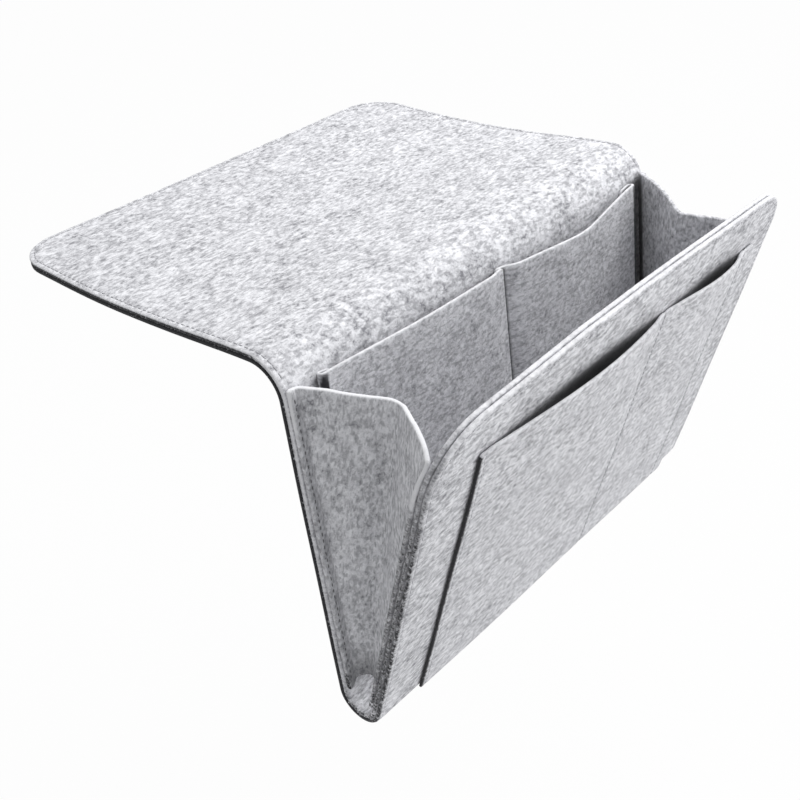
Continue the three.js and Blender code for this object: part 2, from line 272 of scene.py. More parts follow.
melange, felt_in, felt_out = new_group(
    "flecked_felt", {"Cut": "Vector", "Pale": "Color", "Dark": "Color", "Fineness": "Float",
                     "Stretch": "Float", "Spread": "Float"}, {"Color": "Color", "Height": "Float"})
in_mm = product(melange, felt_in["Cut"], TO_MILLIMETRES)
squeeze = calc(melange, "DIVIDE", 1.0, felt_in["Stretch"])
ratio = add_node(melange, "ShaderNodeCombineXYZ", {"X": squeeze, "Y": 1.0, "Z": 1.0})
drawn = product(melange, in_mm, ratio.outputs[0])
flecks = noise(melange, drawn, felt_in["Fineness"], 3.0, 0.55, 0.25)
clouds = noise(melange, drawn, 0.06, 1.0, 0.5)
grain = noise(melange, in_mm, 1.2, 1.0, 0.5)
mottle = weighted(melange, clouds, CLOUD_WEIGHT, flecks)
mottle = weighted(melange, grain, GRAIN_WEIGHT, mottle)
fleck_mask = add_node(melange, "ShaderNodeMapRange",
                      {"Value": mottle, "From Min": calc(melange, "SUBTRACT", 0.5, felt_in["Spread"]),
                       "From Max": calc(melange, "ADD", 0.5, felt_in["Spread"])})
specks = calc(melange, "POWER", fleck_mask.outputs[0], SPECK_POWER)
print("flecks, clouds and grain set")

# %% Node group: single dark fibres on the flecks
FIBRE_LAYERS = ((9.0, 0.62), (-14.0, 0.50))
FIBRE_SHARE = 0.5
GRAIN_RELIEF = 0.6
FIBRE_RELIEF = -0.3

fibre = 0.0
for turn, size in FIBRE_LAYERS:
    laid = add_node(melange, "ShaderNodeMapping",
                    {"Vector": drawn, "Rotation": (0.0, 0.0, math.radians(turn)), "Scale": (0.50, 1.0, 0.4)})
    streak = noise(melange, laid.outputs[0], size, 1.0, 0.4, 0.3)
    thin = add_node(melange, "ShaderNodeMapRange", {"Value": streak, "From Min": 0.56, "From Max": 0.68})
    fibre = calc(melange, "MAXIMUM", fibre, thin.outputs[0])
greys = mixed(melange, specks, felt_in["Dark"], felt_in["Pale"])
haired = mixed(melange, calc(melange, "MULTIPLY", fibre, FIBRE_SHARE), greys, felt_in["Dark"])
relief = weighted(melange, fibre, FIBRE_RELIEF, weighted(melange, grain, GRAIN_RELIEF, flecks))
melange.links.new(haired, felt_out["Color"])
melange.links.new(relief, felt_out["Height"])
print("felt group has", len(melange.nodes), "nodes")

# %% [markdown]
# The cut edge of felt is not like its face. The knife opens the fibres. Light and shade on the cut edge
# are painted: the mask "edge" on each mesh is not 0 on the cut face and fades just inside the rim; below
# 0 it is a painted highlight, where light falls from above, above 0 a broken painted shade, where the edge
# is turned away, and well above 1 an even black painted shade. A second mask, "shade", is painted shade
# for narrow gaps between two felts.

# %% Node group: cut edge
EDGE_MOTTLE_WEIGHT = 3.2
EDGE_MOTTLE_STRENGTH = 1.5

cut_edge, edge_in, edge_out = new_group(
    "cut_edge", {"Cut": "Vector", "Edge": "Float", "Color": "Color", "Shade Grey": "Color", "Highlight Grey": "Color",
                 "Shade": "Float"}, {"Color": "Color"})
# Edge above 0 mixes the face towards a painted shade grey, broken by noise, and below 0 towards a painted
# highlight grey; Shade mixes in painted shade.
edge_mm = product(cut_edge, edge_in["Cut"], TO_MILLIMETRES)
edge_mottle = weighted(cut_edge, noise(cut_edge, edge_mm, 0.65, 3.0, 0.65), EDGE_MOTTLE_WEIGHT)
edge_mottle = calc(cut_edge, "MULTIPLY", edge_mottle, EDGE_MOTTLE_STRENGTH)
unbroken = calc(cut_edge, "SUBTRACT", edge_in["Edge"], 1.0, use_clamp=True)
dark_share = calc(cut_edge, "MULTIPLY_ADD", edge_in["Edge"], edge_mottle, unbroken, use_clamp=True)
pale_share = calc(cut_edge, "MULTIPLY", edge_in["Edge"], -1.0, use_clamp=True)
edge_shaded = mixed(cut_edge, dark_share, edge_in["Color"], edge_in["Shade Grey"])
edge_highlighted = mixed(cut_edge, pale_share, edge_shaded, edge_in["Highlight Grey"])
cut_edge.links.new(mixed(cut_edge, edge_in["Shade"], edge_highlighted, edge_in["Shade Grey"]), edge_out["Color"])
print("edge group has", len(cut_edge.nodes), "nodes")

# %% Materials
PALE_GREY = (0.88, 0.88, 0.91, 1.0)
DARK_GREY = (0.24, 0.24, 0.26, 1.0)
# a near-black painted shade for cut edges and gaps, and a pale painted highlight for cut edges in light
PAINTED_SHADE_GREY = (0.022, 0.022, 0.025, 1.0)
PAINTED_HIGHLIGHT_GREY = (0.84, 0.84, 0.86, 1.0)


def felt_material(name, fineness, stretch, spread):
    """A felt finish from the two groups. Sheen is constant, so it is set on the shader's own sockets."""
    made = bpy.data.materials.new(name)
    tree = emptied(made)
    cut, edge, gap = (add_node(tree, "ShaderNodeAttribute", attribute_name=mask).outputs
                      for mask in ("cut", "edge", "shade"))
    felt = add_node(tree, "ShaderNodeGroup",
                    {"Cut": cut["Vector"], "Pale": PALE_GREY, "Dark": DARK_GREY, "Fineness": fineness,
                     "Stretch": stretch, "Spread": spread}, node_tree=melange).outputs
    # the cut_edge group paints highlight and shade on the cut edge, and painted shade from the "shade" mask
    rim = add_node(tree, "ShaderNodeGroup",
                   {"Cut": cut["Vector"], "Edge": edge["Fac"], "Shade": gap["Fac"], "Color": felt["Color"],
                    "Shade Grey": PAINTED_SHADE_GREY, "Highlight Grey": PAINTED_HIGHLIGHT_GREY}, node_tree=cut_edge).outputs
    raised = add_node(tree, "ShaderNodeBump",
                      {"Strength": 0.4, "Distance": 0.6 * MM, "Height": felt["Height"]})
    shader = add_node(tree, "ShaderNodeBsdfPrincipled",
                      {"Base Color": rim["Color"], "Normal": raised.outputs[0], "Roughness": 0.92,
                       "Specular IOR Level": 0.2, "Sheen Weight": 0.12, "Sheen Roughness": 0.6})
    add_node(tree, "ShaderNodeOutputMaterial", {"Surface": shader.outputs[0]})
    print("material", name)
    return made


strip_felt = felt_material("strip_felt", 0.37, 1.3, 0.205)
pocket_felt = felt_material("pocket_felt", 0.40, 1.2, 0.25)
gusset_felt = felt_material("gusset_felt", 0.40, 1.2, 0.23)

# %% Thread materials
PLY_SCALE = 2400.0


def thread_material(name, low, high):
    """Twisted thread, from its darker to its paler grey."""
    made = bpy.data.materials.new(name)
    tree = emptied(made)
    place = add_node(tree, "ShaderNodeTexCoord")
    ply = add_node(tree, "ShaderNodeTexNoise",
                   {"Vector": place.outputs["Object"], "Scale": PLY_SCALE, "Detail": 1.0})
    greys = add_node(tree, "ShaderNodeValToRGB", {0: ply.outputs[0]})
    for stop, grey in zip(greys.color_ramp.elements, (low, high)):
        stop.color = (grey, grey, 1.05 * grey, 1.0)
    shader = add_node(tree, "ShaderNodeBsdfPrincipled",
                      {"Base Color": greys.outputs[0], "Roughness": 0.7, "Sheen Weight": 0.1})
    add_node(tree, "ShaderNodeOutputMaterial", {"Surface": shader.outputs[0]})
    print("material", name)
    return made


grey_thread = thread_material("grey_thread", 0.28, 0.48)
pale_thread = thread_material("pale_thread", 0.40, 0.62)
dark_thread = thread_material("dark_thread", 0.05, 0.16)

# %% [markdown]
# ## Cutting a felt
#
# Each felt is a closed sheet 2 to 3 mm thick with a soft, slightly rounded cut edge and shallow grooves where
# it is sewn. A plane with Solidify would give the thickness, but not the rounded rim, the pressed seams or
# the flat cut that the pattern follows. So a felt is cut flat here: an outline, a few rings just inside it
# that shape the rim, a grid in the middle, and a triangulation that ties them together.

# %% Outlines
def soft_outline(corners, step):
    """A closed outline from (u, v, radius) corners, anticlockwise, with a point at least every step."""
    loop = []
    for here, before, after in zip(corners, corners[-1:] + corners[:-1], corners[1:] + corners[:1]):
        spot = np.array(here[:2])
        to_before = np.array(before[:2]) - spot
        to_after = np.array(after[:2]) - spot
        to_before = to_before / np.linalg.norm(to_before)
        to_after = to_after / np.linalg.norm(to_after)
        half = 0.5 * math.acos(max(-1.0, min(1.0, float(to_before @ to_after))))
        if here[2] <= 0.0 or half > 1.5:
            loop.append(spot)
            continue
        split = (to_before + to_after) / np.linalg.norm(to_before + to_after)
        centre = spot + split * here[2] / math.sin(half)
        first = spot + to_before * here[2] / math.tan(half) - centre
        last = spot + to_after * here[2] / math.tan(half) - centre
        start = math.atan2(first[1], first[0])
        sweep = math.remainder(math.atan2(last[1], last[0]) - start, 2.0 * math.pi)
        count = max(3, math.ceil(abs(sweep) * here[2] / step), math.ceil(abs(sweep) / math.radians(18.0)))
        for angle in start + sweep * np.arange(count + 1) / count:
            loop.append(centre + here[2] * np.array([math.cos(angle), math.sin(angle)]))
    points = []
    for spot, after in zip(loop, loop[1:] + loop[:1]):
        count = max(1, math.ceil(np.linalg.norm(after - spot) / step))
        points.extend(spot + (after - spot) * k / count for k in range(count))
    return np.array(points)


def inset(loop, depth):
    """The outline moved inwards by depth."""
    to_here = loop - np.roll(loop, 1, axis=0)
    to_next = np.roll(loop, -1, axis=0) - loop
    to_here = to_here / np.linalg.norm(to_here, axis=1)[:, None]
    to_next = to_next / np.linalg.norm(to_next, axis=1)[:, None]
    first = np.column_stack([-to_here[:, 1], to_here[:, 0]])
    second = np.column_stack([-to_next[:, 1], to_next[:, 0]])
    return loop + depth * (first + second) / (1.0 + np.sum(first * second, axis=1))[:, None]


def depth_inside(points, loop):
    """Distance from each point to the outline, negative outside it."""
    nearest = np.full(len(points), np.inf)
    crossings = np.zeros(len(points), dtype=int)
    for spot, after in zip(loop, np.roll(loop, -1, axis=0)):
        side = after - spot
        along = np.clip((points - spot) @ side / (side @ side), 0.0, 1.0)
        nearest = np.minimum(nearest, np.linalg.norm(points - spot - along[:, None] * side, axis=1))
        if spot[1] != after[1]:
            at = spot[0] + (points[:, 1] - spot[1]) / side[1] * side[0]
            crossings += ((spot[1] > points[:, 1]) != (after[1] > points[:, 1])) & (points[:, 0] < at)
    return np.where(crossings % 2 == 1, nearest, -nearest)


print("outline helpers ready")

# %% Flat felts
FELT = 3.05 * MM
RIM_RINGS = [0.0, 0.30 * MM, 0.9 * MM, 2.0 * MM]
SEWN_RINGS = RIM_RINGS + [2.6 * MM, 3.2 * MM, 4.0 * MM, 5.2 * MM]
EDGE_FADE = [1.0, 0.75, 0.28, 0.0]
RIM_DRAW = 0.36
RIM_REACH = 1.3 * MM
RIM_SWELL = 0.14 * MM
GRID_MARGIN = 1.3 * MM


def rim_height(depth, thick=FELT):
    """Half a felt's thickness, drawn in towards the cut edge."""
    return 0.5 * thick * (1.0 - RIM_DRAW * np.clip(1.0 - depth / RIM_REACH, 0.0, 1.0) ** 2)


def groove(distance, deep, wide):
    """How far a seam at that distance pulls the face down."""
    return deep * np.exp(-((distance / wide) ** 2))


def flat_felt(loop, across, along, rings, height, free_loop=None):
    """Cuts a flat felt: points (u, v, h), faces and edge mask.
    height(u, v, depth, side) is its half thickness.
    Where it goes on into another felt, free_loop lies further out, so that no rim is formed there."""
    free_loop = loop if free_loop is None else free_loop
    loops = [inset(loop, depth) for depth in rings]
    count = len(loop)
    grid = np.array([(u, v) for v in along for u in across])
    grid = grid[depth_inside(grid, loops[-1]) > GRID_MARGIN]
    spots = [Vector(spot) for spot in np.vstack([loops[-1], grid])]
    flat, _, triangles, origin, _, _ = delaunay_2d_cdt(spots, [], [list(range(count))], 1, 1e-9)
    middle = np.array([tuple(spot) for spot in flat])
    number = {first: k for k, ids in enumerate(origin) for first in ids}
    points, edge, faces, lips = [], [], [], []
    total = 0
    for side in (1, -1):
        for level_number in range(len(rings) - 1, -1, -1):
            ring = middle if level_number == len(rings) - 1 else loops[level_number]
            deep = np.maximum(depth_inside(ring, free_loop), 0.0)
            points.append(np.column_stack([ring, side * height(ring[:, 0], ring[:, 1], deep, side)]))
            edge.append(np.interp(deep, RIM_RINGS, EDGE_FADE))
            if level_number == len(rings) - 1:
                inner = [total + number[k] for k in range(count)]
                faces.extend(tuple(total + k for k in face[::side]) for face in triangles)
            else:
                outer = [total + k for k in range(count)]
                for k in range(count):
                    quad = (outer[k], outer[(k + 1) % count], inner[(k + 1) % count], inner[k])
                    faces.append(quad[::side])
                inner = outer
            total += len(ring)
        lips.append(inner)
    points.append(np.column_stack([inset(loop, -RIM_SWELL), np.zeros(count)]))
    edge.append(np.interp(np.maximum(depth_inside(loop, free_loop), 0.0), RIM_RINGS, EDGE_FADE))
    waist = [total + k for k in range(count)]
    for k in range(count):
        after = (k + 1) % count
        faces.append((waist[k], waist[after], lips[0][after], lips[0][k]))
        faces.append((lips[1][k], lips[1][after], waist[after], waist[k]))
    return np.vstack(points), faces, np.concatenate(edge)


def together(first, second):
    """Two flat felts as one."""
    faces = first[1] + [tuple(len(first[0]) + k for k in face) for face in second[1]]
    return np.vstack([first[0], second[0]]), faces, np.concatenate([first[2], second[2]])


print("felt cutter ready, felt is", round(FELT / MM, 2), "mm thick")

# %% [markdown]
# A flat felt is then laid on a curved middle surface: a function that turns the flat cut into a place on the
# caddy. The felt's thickness goes along the surface's normal, found from two small steps on it. The flat
# coordinates stay on the mesh as "cut".

# %% Laying a felt on its surface
def surface_frame(surface, u, v):
    """Points on a surface and its unit normals."""
    step = 0.02 * MM
    along_u = surface(u + step, v) - surface(u - step, v)
    along_v = surface(u, v + step) - surface(u, v - step)
    normal = np.cross(along_v, along_u)
    return surface(u, v), normal / np.linalg.norm(normal, axis=1)[:, None]


SHARP_ANGLE = math.radians(62.0)


def lay_felt(name, felt, surface, finish, edge_tone, lift=0.0, roll=lambda u, v: (u, v), shade=None):
    """Makes the mesh object of a felt. edge_tone(u, v, h) is painted highlight and shade on the cut edge,
    roll(u, v) its place on the roll of felt, and shade(u, v, h) painted shade on its face where light hardly
    gets."""
    points, faces, edge = felt
    u, v, h = points.T
    place, normal = surface_frame(surface, u, v)
    place = place + normal * (lift + h)[:, None]
    mesh = bpy.data.meshes.new(name)
    mesh.from_pydata(place.tolist(), [], faces)
    # painted highlight below 0 and painted shade above 0, faded in towards the rim by the edge mask
    tone = edge_tone(u, v, h)
    tone = np.where(tone < 0.0, edge ** 2, edge) * tone
    gap = np.zeros_like(u) if shade is None else shade(u, v, h) * (1.0 - edge)
    cut = np.column_stack([*roll(u, v), h])
    for mask, kind, part, values in (("cut", "FLOAT_VECTOR", "vector", cut.ravel()),
                                     ("edge", "FLOAT", "value", tone), ("shade", "FLOAT", "value", gap)):
        mesh.attributes.new(mask, kind, "POINT").data.foreach_set(part, values.astype(np.float32))
    shell = bmesh.new()
    shell.from_mesh(mesh)
    bmesh.ops.recalc_face_normals(shell, faces=shell.faces)
    if shell.calc_volume(signed=True) < 0.0:
        bmesh.ops.reverse_faces(shell, faces=shell.faces)
    open_edges = sum(1 for side in shell.edges if len(side.link_faces) != 2)
    shell.to_mesh(mesh)
    shell.free()
    mesh.polygons.foreach_set("use_smooth", [True] * len(mesh.polygons))
    mesh.set_sharp_from_angle(angle=SHARP_ANGLE)
    mesh.materials.append(finish)
    piece = bpy.data.objects.new(name, mesh)
    bpy.context.scene.collection.objects.link(piece)
    print(name, len(mesh.polygons), "faces,", open_edges, "open edges")
    return piece


def smooth(value, low, high):
    """0 below low, 1 above high, with soft ends."""
    share = np.clip((value - low) / (high - low), 0.0, 1.0)
    return share * share * (3.0 - 2.0 * share)


def between(value, start, full, ebb, end):
    """1 from full to ebb and 0 outside start and end, with soft sides."""
    return smooth(value, start, full) * (1.0 - smooth(value, ebb, end))


print("felt layer ready")

# %% [markdown]
# ## The strip
#
# The strip is walked along its middle, from the free end of the flap to the top of the front wall: straight,
# a bend over the bed's edge, straight down, a tight bend at the foot, and straight up, leaning out. Each
# stretch has a length and a turn. A curve with a bevel could follow that, but two felts have to
# lie on each other at a fixed distance round both bends, so the walk gives a point and a normal instead.

# %% Walking the strip
LAYER_GAP = 0.3 * MM
STRIP = 2.0 * FELT + LAYER_GAP
HALF_WIDTH = 160.0 * MM
FLAP_LENGTH = 218.0 * MM
FLAP_BEND = 23.4 * MM
BACK_HEIGHT = 195.0 * MM
BACK_TILT = math.radians(2.1)
FOOT_BEND = 9.6 * MM
FRONT_HEIGHT = 225.0 * MM
FRONT_LEAN = math.radians(17.2)

over_turn = math.pi / 2 - BACK_TILT
foot_turn = math.pi - BACK_TILT - FRONT_LEAN
stretches = [(FLAP_LENGTH, 0.0), ((FLAP_BEND - STRIP / 2) * over_turn, over_turn), (BACK_HEIGHT, 0.0),
             ((FOOT_BEND + STRIP / 2) * foot_turn, -foot_turn), (FRONT_HEIGHT, 0.0)]
walk = []
strip_at, strip_spot, strip_heading = 0.0, np.array([FLAP_LENGTH / 2, STRIP / 2]), math.pi
for length, turn in stretches:
    walk.append((strip_at, length, turn, strip_spot, strip_heading))
    if turn == 0.0:
        ahead_2d = np.array([math.cos(strip_heading), math.sin(strip_heading)]) * length
    else:
        radius = length / turn
        ahead_2d = radius * np.array([math.sin(strip_heading + turn) - math.sin(strip_heading),
                                      math.cos(strip_heading) - math.cos(strip_heading + turn)])
    strip_at, strip_spot, strip_heading = strip_at + length, strip_spot + ahead_2d, strip_heading + turn
BEND_AT, BACK_AT, FOOT_AT, FRONT_AT = (walk[k][0] for k in (1, 2, 3, 4))
STRIP_LENGTH = strip_at
print("strip is", round(STRIP_LENGTH / MM, 1), "mm long")

# %% Points on the strip
FLAP_SAG = 3.6 * MM
FELT_WAVE = 0.35 * MM


def strip_point(x, along, height):
    """The point at x across and along the walk, height off the strip's middle towards the inside."""
    y, z = np.zeros_like(along), np.zeros_like(along)
    heading = np.zeros_like(along)
    for start, length, turn, spot, first in walk:
        here = along >= start if start > 0.0 else np.full(along.shape, True)
        gone = along - start
        if turn == 0.0:
            now = np.full_like(along, first)
            far_y, far_z = math.cos(first) * gone, math.sin(first) * gone
        else:
            now = first + gone * turn / length
            far_y = (np.sin(now) - math.sin(first)) * length / turn
            far_z = (math.cos(first) - np.cos(now)) * length / turn
        y = np.where(here, spot[0] + far_y, y)
        z = np.where(here, spot[1] + far_z, z)
        heading = np.where(here, now, heading)
    share = np.clip(along / FLAP_LENGTH, 0.0, 1.0)
    z = z - FLAP_SAG * 16.0 * (share * (1.0 - share)) ** 2
    height = height + FELT_WAVE * np.sin(x * 31.0 + along * 13.0) * np.sin(along * 41.0 - x * 7.0)
    return np.stack([x + 0.0 * along, y + np.sin(heading) * height, z - np.cos(heading) * height], axis=-1)


foot_spot = strip_point(np.zeros(1), np.array([FOOT_AT + 18 * MM]), np.zeros(1))[0]
print("foot lies at z", round(float(foot_spot[2]) / MM))

# %% [markdown]
# Two felts are cut to the same outline, with round corners at the flap and at the front wall, sewn together
# 3 mm inside the edge. The front wall's left corner is rounder than its right one. The seam draws a groove.
#
# The strip crosses two joints: the fold over the bed's edge and the fold at the foot. A piece can turn across
# only one joint, so each felt is divided on the back wall, behind the inner pockets where nobody sees it.

# %% Cutting the strip
FLAP_CORNER = 30.0 * MM
LEFT_CORNER = 37.0 * MM
RIGHT_CORNER = 26.0 * MM
LEFT_DROP = 7.0 * MM
TOP_CROWN = ((60, 2.0), (0, 3.0), (-50, 2.6))
SEAM_INSET = 3.2 * MM
EDGE_PRESS = (0.22 * MM, 4.5 * MM)
SEAM_PRESS = (0.40 * MM, 0.9 * MM)
DIVIDE_AT = BACK_AT + 60.0 * MM

strip_outline = soft_outline([(-HALF_WIDTH, 0.0, FLAP_CORNER), (HALF_WIDTH, 0.0, FLAP_CORNER),
                              (HALF_WIDTH, STRIP_LENGTH, RIGHT_CORNER),
                              *((x * MM, STRIP_LENGTH + rise * MM, 0.0) for x, rise in TOP_CROWN),
                              (-HALF_WIDTH, STRIP_LENGTH - LEFT_DROP, LEFT_CORNER)], 2.0 * MM)


def sewn_height(pressed_side):
    """Half thickness of a strip felt, whose pressed side shows the seam."""
    def height(u, v, depth, side):
        half = rim_height(depth)
        if side == pressed_side:
            half = half - groove(depth, *EDGE_PRESS) - groove(depth - SEAM_INSET, *SEAM_PRESS)
        return half
    return height


def spaced(low, high, step):
    """Evenly spaced values from low to high, about step apart."""
    return np.linspace(low, high, max(2, round((high - low) / step) + 1))


strip_across = spaced(-HALF_WIDTH, HALF_WIDTH, 8.0 * MM)
strip_along = np.concatenate([spaced(0.0, BEND_AT - 8 * MM, 8 * MM), spaced(BEND_AT, BACK_AT, 1.8 * MM),
                              spaced(BACK_AT + 8 * MM, FOOT_AT - 8 * MM, 8 * MM),
                              spaced(FOOT_AT, FRONT_AT, 1.3 * MM),
                              spaced(FRONT_AT + 8 * MM, FRONT_AT + 184 * MM, 8 * MM),
                              spaced(FRONT_AT + 187 * MM, FRONT_AT + 208 * MM, 1.5 * MM),
                              [STRIP_LENGTH - 9 * MM]])
inner_felt = flat_felt(strip_outline, strip_across, strip_along, SEWN_RINGS, sewn_height(1))
outer_felt = flat_felt(strip_outline, strip_across, strip_along, SEWN_RINGS, sewn_height(-1))
print("strip felts cut:", len(inner_felt[1]), "faces each")

# %% Dividing the strip
def divide(felt, limit, keep_before):
    """The part of a flat felt on one side of v = limit, closed there."""
    points, faces, edge = felt
    shell = bmesh.new()
    tone = shell.verts.layers.float.new("tone")
    made = [shell.verts.new(spot) for spot in points]
    for vert, value in zip(made, edge):
        vert[tone] = value
    for face in faces:
        shell.faces.new([made[k] for k in face])
    everything = shell.verts[:] + shell.edges[:] + shell.faces[:]
    cut = bmesh.ops.bisect_plane(shell, geom=everything, dist=1e-7, plane_co=(0.0, limit, 0.0),
                                 plane_no=(0.0, 1.0, 0.0), clear_outer=keep_before,
                                 clear_inner=not keep_before)
    rim = [part for part in cut["geom_cut"] if isinstance(part, bmesh.types.BMEdge)]
    bmesh.ops.contextual_create(shell, geom=rim)
    shell.verts.index_update()
    kept = np.array([tuple(vert.co) for vert in shell.verts])
    kept_edge = np.array([vert[tone] for vert in shell.verts])
    kept_faces = [tuple(vert.index for vert in face.verts) for face in shell.faces]
    shell.free()
    return kept, kept_faces, kept_edge


def strip_surface(u, v):
    """The strip's middle: u across, v along the walk."""
    return strip_point(u, v, np.zeros_like(u))


def upper_tone(u, v, h):
    """A painted highlight on the upper rim over painted shade on the cut, which turns to painted highlight
    round the bend.
    """
    return np.where(h > 0.3 * MM, -1.0, 1.5 - 1.8 * smooth(v, BEND_AT - 6 * MM, BEND_AT + 14 * MM))


def lower_tone(u, v, h):
    """Painted shade, near black, on the cut edge under the flap, a little less dark past the bend."""
    return 2.6 - 0.8 * smooth(v, BEND_AT, BACK_AT)


POUCH_AT = [DIVIDE_AT, FOOT_AT - 14 * MM, FOOT_AT + 6 * MM, FRONT_AT, FRONT_AT + 150 * MM,
            FRONT_AT + 205 * MM, STRIP_LENGTH]


def inside_tone(u, v, h):
    """A painted highlight on the back wall's cut edge, mottled painted shade from the foot up the front
    wall's sides, painted highlight along its top.
    """
    return np.interp(v, POUCH_AT, [-0.4, -0.2, 1.0, 0.95, 0.75, 0.2, -0.6])


def outside_tone(u, v, h):
    """Painted shade on the cut edge from the back wall to the foot, mottled painted shade up the front wall's
    sides, painted highlight along its top.
    """
    return np.interp(v, POUCH_AT, [1.8, 2.0, 2.2, 1.2, 0.95, 0.2, -0.6])


OUTER_LEFT = -126.0 * MM
OUTER_RIGHT = 135.0 * MM
OUTER_SEAM = 124.0 * MM
OUTER_LEFT_SEAM = OUTER_LEFT + 4.0 * MM
OUTER_DIVIDER = 35.0 * MM
OUTER_TOP = FRONT_HEIGHT - 29.5 * MM
MOUTH_EASE = 12.0 * MM
MOUTH_POWER = 0.9


def mouth_swell(x, low, high, skew):
    """How far a mouth stands open at x, as a share. A higher skew moves the widest place to the right."""
    bow = np.sin(math.pi * np.clip((x - low) / (high - low), 0.0, 1.0) ** skew)
    return np.clip(bow, 0.0, 1.0) ** MOUTH_POWER * between(x, low, low + MOUTH_EASE, high - MOUTH_EASE, high)


def mouths(x):
    """The two mouths of the outer pocket, wide and narrow, as shares."""
    wide = mouth_swell(x, OUTER_LEFT + 5 * MM, OUTER_DIVIDER, 1.3)
    return wide, mouth_swell(x, OUTER_DIVIDER, OUTER_SEAM, 1.5)


LIP_SHADES = ((-60, 0.0), (-35, 0.99), (-3, 0.99), (0, 0.93), (3, 0.42), (8, 0.13), (16, 0.0))
LIP_POWER = 0.6


def behind_mouth(u, v, h):
    """Shade on the front wall, by millimetres above the outer pocket's lip, where its mouths stand open."""
    steps, shades = zip(*LIP_SHADES)
    by_height = np.interp(v - FRONT_AT - OUTER_TOP, [step * MM for step in steps], shades)
    return by_height * np.maximum(*mouths(u)) ** LIP_POWER * (h < 0.0)


POCKET_GAP = (142 * MM, 144 * MM, 151 * MM, 154 * MM)
GAP_SHADE = 0.89
MEETING_SHADE = 0.9
MEETING_SPREAD = 3.5 * MM


def beside_pocket(u, v, h):
    """Shade on the back wall between the right inner pocket and the gusset, and where the pockets meet."""
    gap = between(u, *POCKET_GAP) * between(v, BACK_AT - 5 * MM, BACK_AT - 1 * MM, FOOT_AT - 60 * MM, FOOT_AT)
    aside, above = (u + 4 * MM) / MEETING_SPREAD, (v - BACK_AT - 1 * MM) / MEETING_SPREAD
    return np.maximum(GAP_SHADE * gap, MEETING_SHADE * np.exp(-aside ** 2 - above ** 2)) * (h > 0.0)


def apart(step_u, step_v):
    """Another place on the roll of felt, so that no two felts have the same pattern."""
    return lambda u, v: (u + step_u, v + step_v)


LAYER_LIFT = (FELT + LAYER_GAP) / 2
flap_upper = lay_felt("over_bed_upper_felt", divide(inner_felt, DIVIDE_AT, True), strip_surface, strip_felt,
                      upper_tone, LAYER_LIFT, shade=beside_pocket)
flap_lower = lay_felt("over_bed_lower_felt", divide(outer_felt, DIVIDE_AT, True), strip_surface, strip_felt,
                      lower_tone, -LAYER_LIFT, apart(0.71, 0.33))
pouch_inner = lay_felt("pouch_inner_felt", divide(inner_felt, DIVIDE_AT, False), strip_surface, strip_felt,
                       inside_tone, LAYER_LIFT, shade=beside_pocket)
pouch_outer = lay_felt("pouch_outer_felt", divide(outer_felt, DIVIDE_AT, False), strip_surface, strip_felt,
                       outside_tone, -LAYER_LIFT, apart(0.71, 0.33), behind_mouth)

# %% [markdown]
# ## The gussets
#
# A gusset is one felt folded like a bellows. A narrow flange along each side is sewn flat to its wall, flush
# with the wall's edge. From there the felt turns inwards, runs to a soft crease in the middle, and comes
# back to the other wall. When the front wall swings, both halves turn at their seams and the crease moves in
# or out.
#
# One sheet can turn across only one joint, so each half is its own sheet and they meet flush in the crease.
# The back half has a thin tongue inside the front one, which covers the crease when the pouch is pulled wide
# open. The section is worked out from the free edge: flange, fold, panel, crease.

# %% Walls and the gusset's section
up_back = np.array([math.sin(BACK_TILT), math.cos(BACK_TILT)])
in_back = np.array([-math.cos(BACK_TILT), math.sin(BACK_TILT)])
up_front = np.array([-math.sin(FRONT_LEAN), math.cos(FRONT_LEAN)])
in_front = np.array([math.cos(FRONT_LEAN), math.sin(FRONT_LEAN)])
back_foot = walk[3][3] + in_back * STRIP / 2
front_foot = walk[4][3] + in_front * STRIP / 2


def back_point(x, up, off):
    """A point off the back wall's inner face, up from the level of the foot bend."""
    return np.stack([x, back_foot[0] + up_back[0] * up + in_back[0] * off,
                     back_foot[1] + up_back[1] * up + in_back[1] * off], axis=-1)


def front_point(x, up, off):
    """A point off the front wall's inner face, up from the level of the foot bend."""
    return np.stack([x, front_foot[0] + up_front[0] * up + in_front[0] * off,
                     front_foot[1] + up_front[1] * up + in_front[1] * off], axis=-1)


EDGE_INSET = 0.4 * MM
EDGE_CLEARANCE = 0.6 * MM
FOLD_RADIUS = 2.5 * MM
FOLD_X = 153.5 * MM
CREASE_DEPTH = {"left": 29.5 * MM, "right": 21.5 * MM}
FLANGE_OFF = LAYER_GAP + FELT / 2
CREASE_EASE = 7.0 * MM
CREASE_SPAN = 1.8
half_mouth = (BACK_TILT + FRONT_LEAN) / 2


def half_gap(up):
    """Distance from a gusset's seam line to the middle of the pouch, at a height."""
    return FOOT_BEND - FLANGE_OFF + up * math.tan(half_mouth)


class GussetPlan:
    """A gusset's section, from how deep its crease lies."""
    def __init__(self, depth):
        self.lean = math.atan2(depth, half_gap(BACK_HEIGHT))
        self.turn = math.pi / 2 - self.lean
        self.corner = FOLD_RADIUS * math.tan(self.turn / 2)
        self.flange = HALF_WIDTH - EDGE_INSET - FOLD_X - self.corner
        self.seam = self.flange + FOLD_RADIUS * self.turn

    def panel(self, up):
        """How far the panel runs flat, from its fold to where the crease would be sharp."""
        return half_gap(up) / math.cos(self.lean) - self.corner

    def ease(self, up):
        """How far before the crease the panel begins to turn."""
        return np.minimum(CREASE_EASE, 0.45 * self.panel(up))

    def end(self, up):
        """Where the two halves meet."""
        return self.seam + self.panel(up) - 0.1 * self.ease(up)


plans = {word: GussetPlan(depth) for word, depth in CREASE_DEPTH.items()}
print("gusset panels lean in by", [round(math.degrees(plan.lean), 1) for plan in plans.values()], "degrees")

# %% Gusset surfaces
BELLY = 1.0 * MM


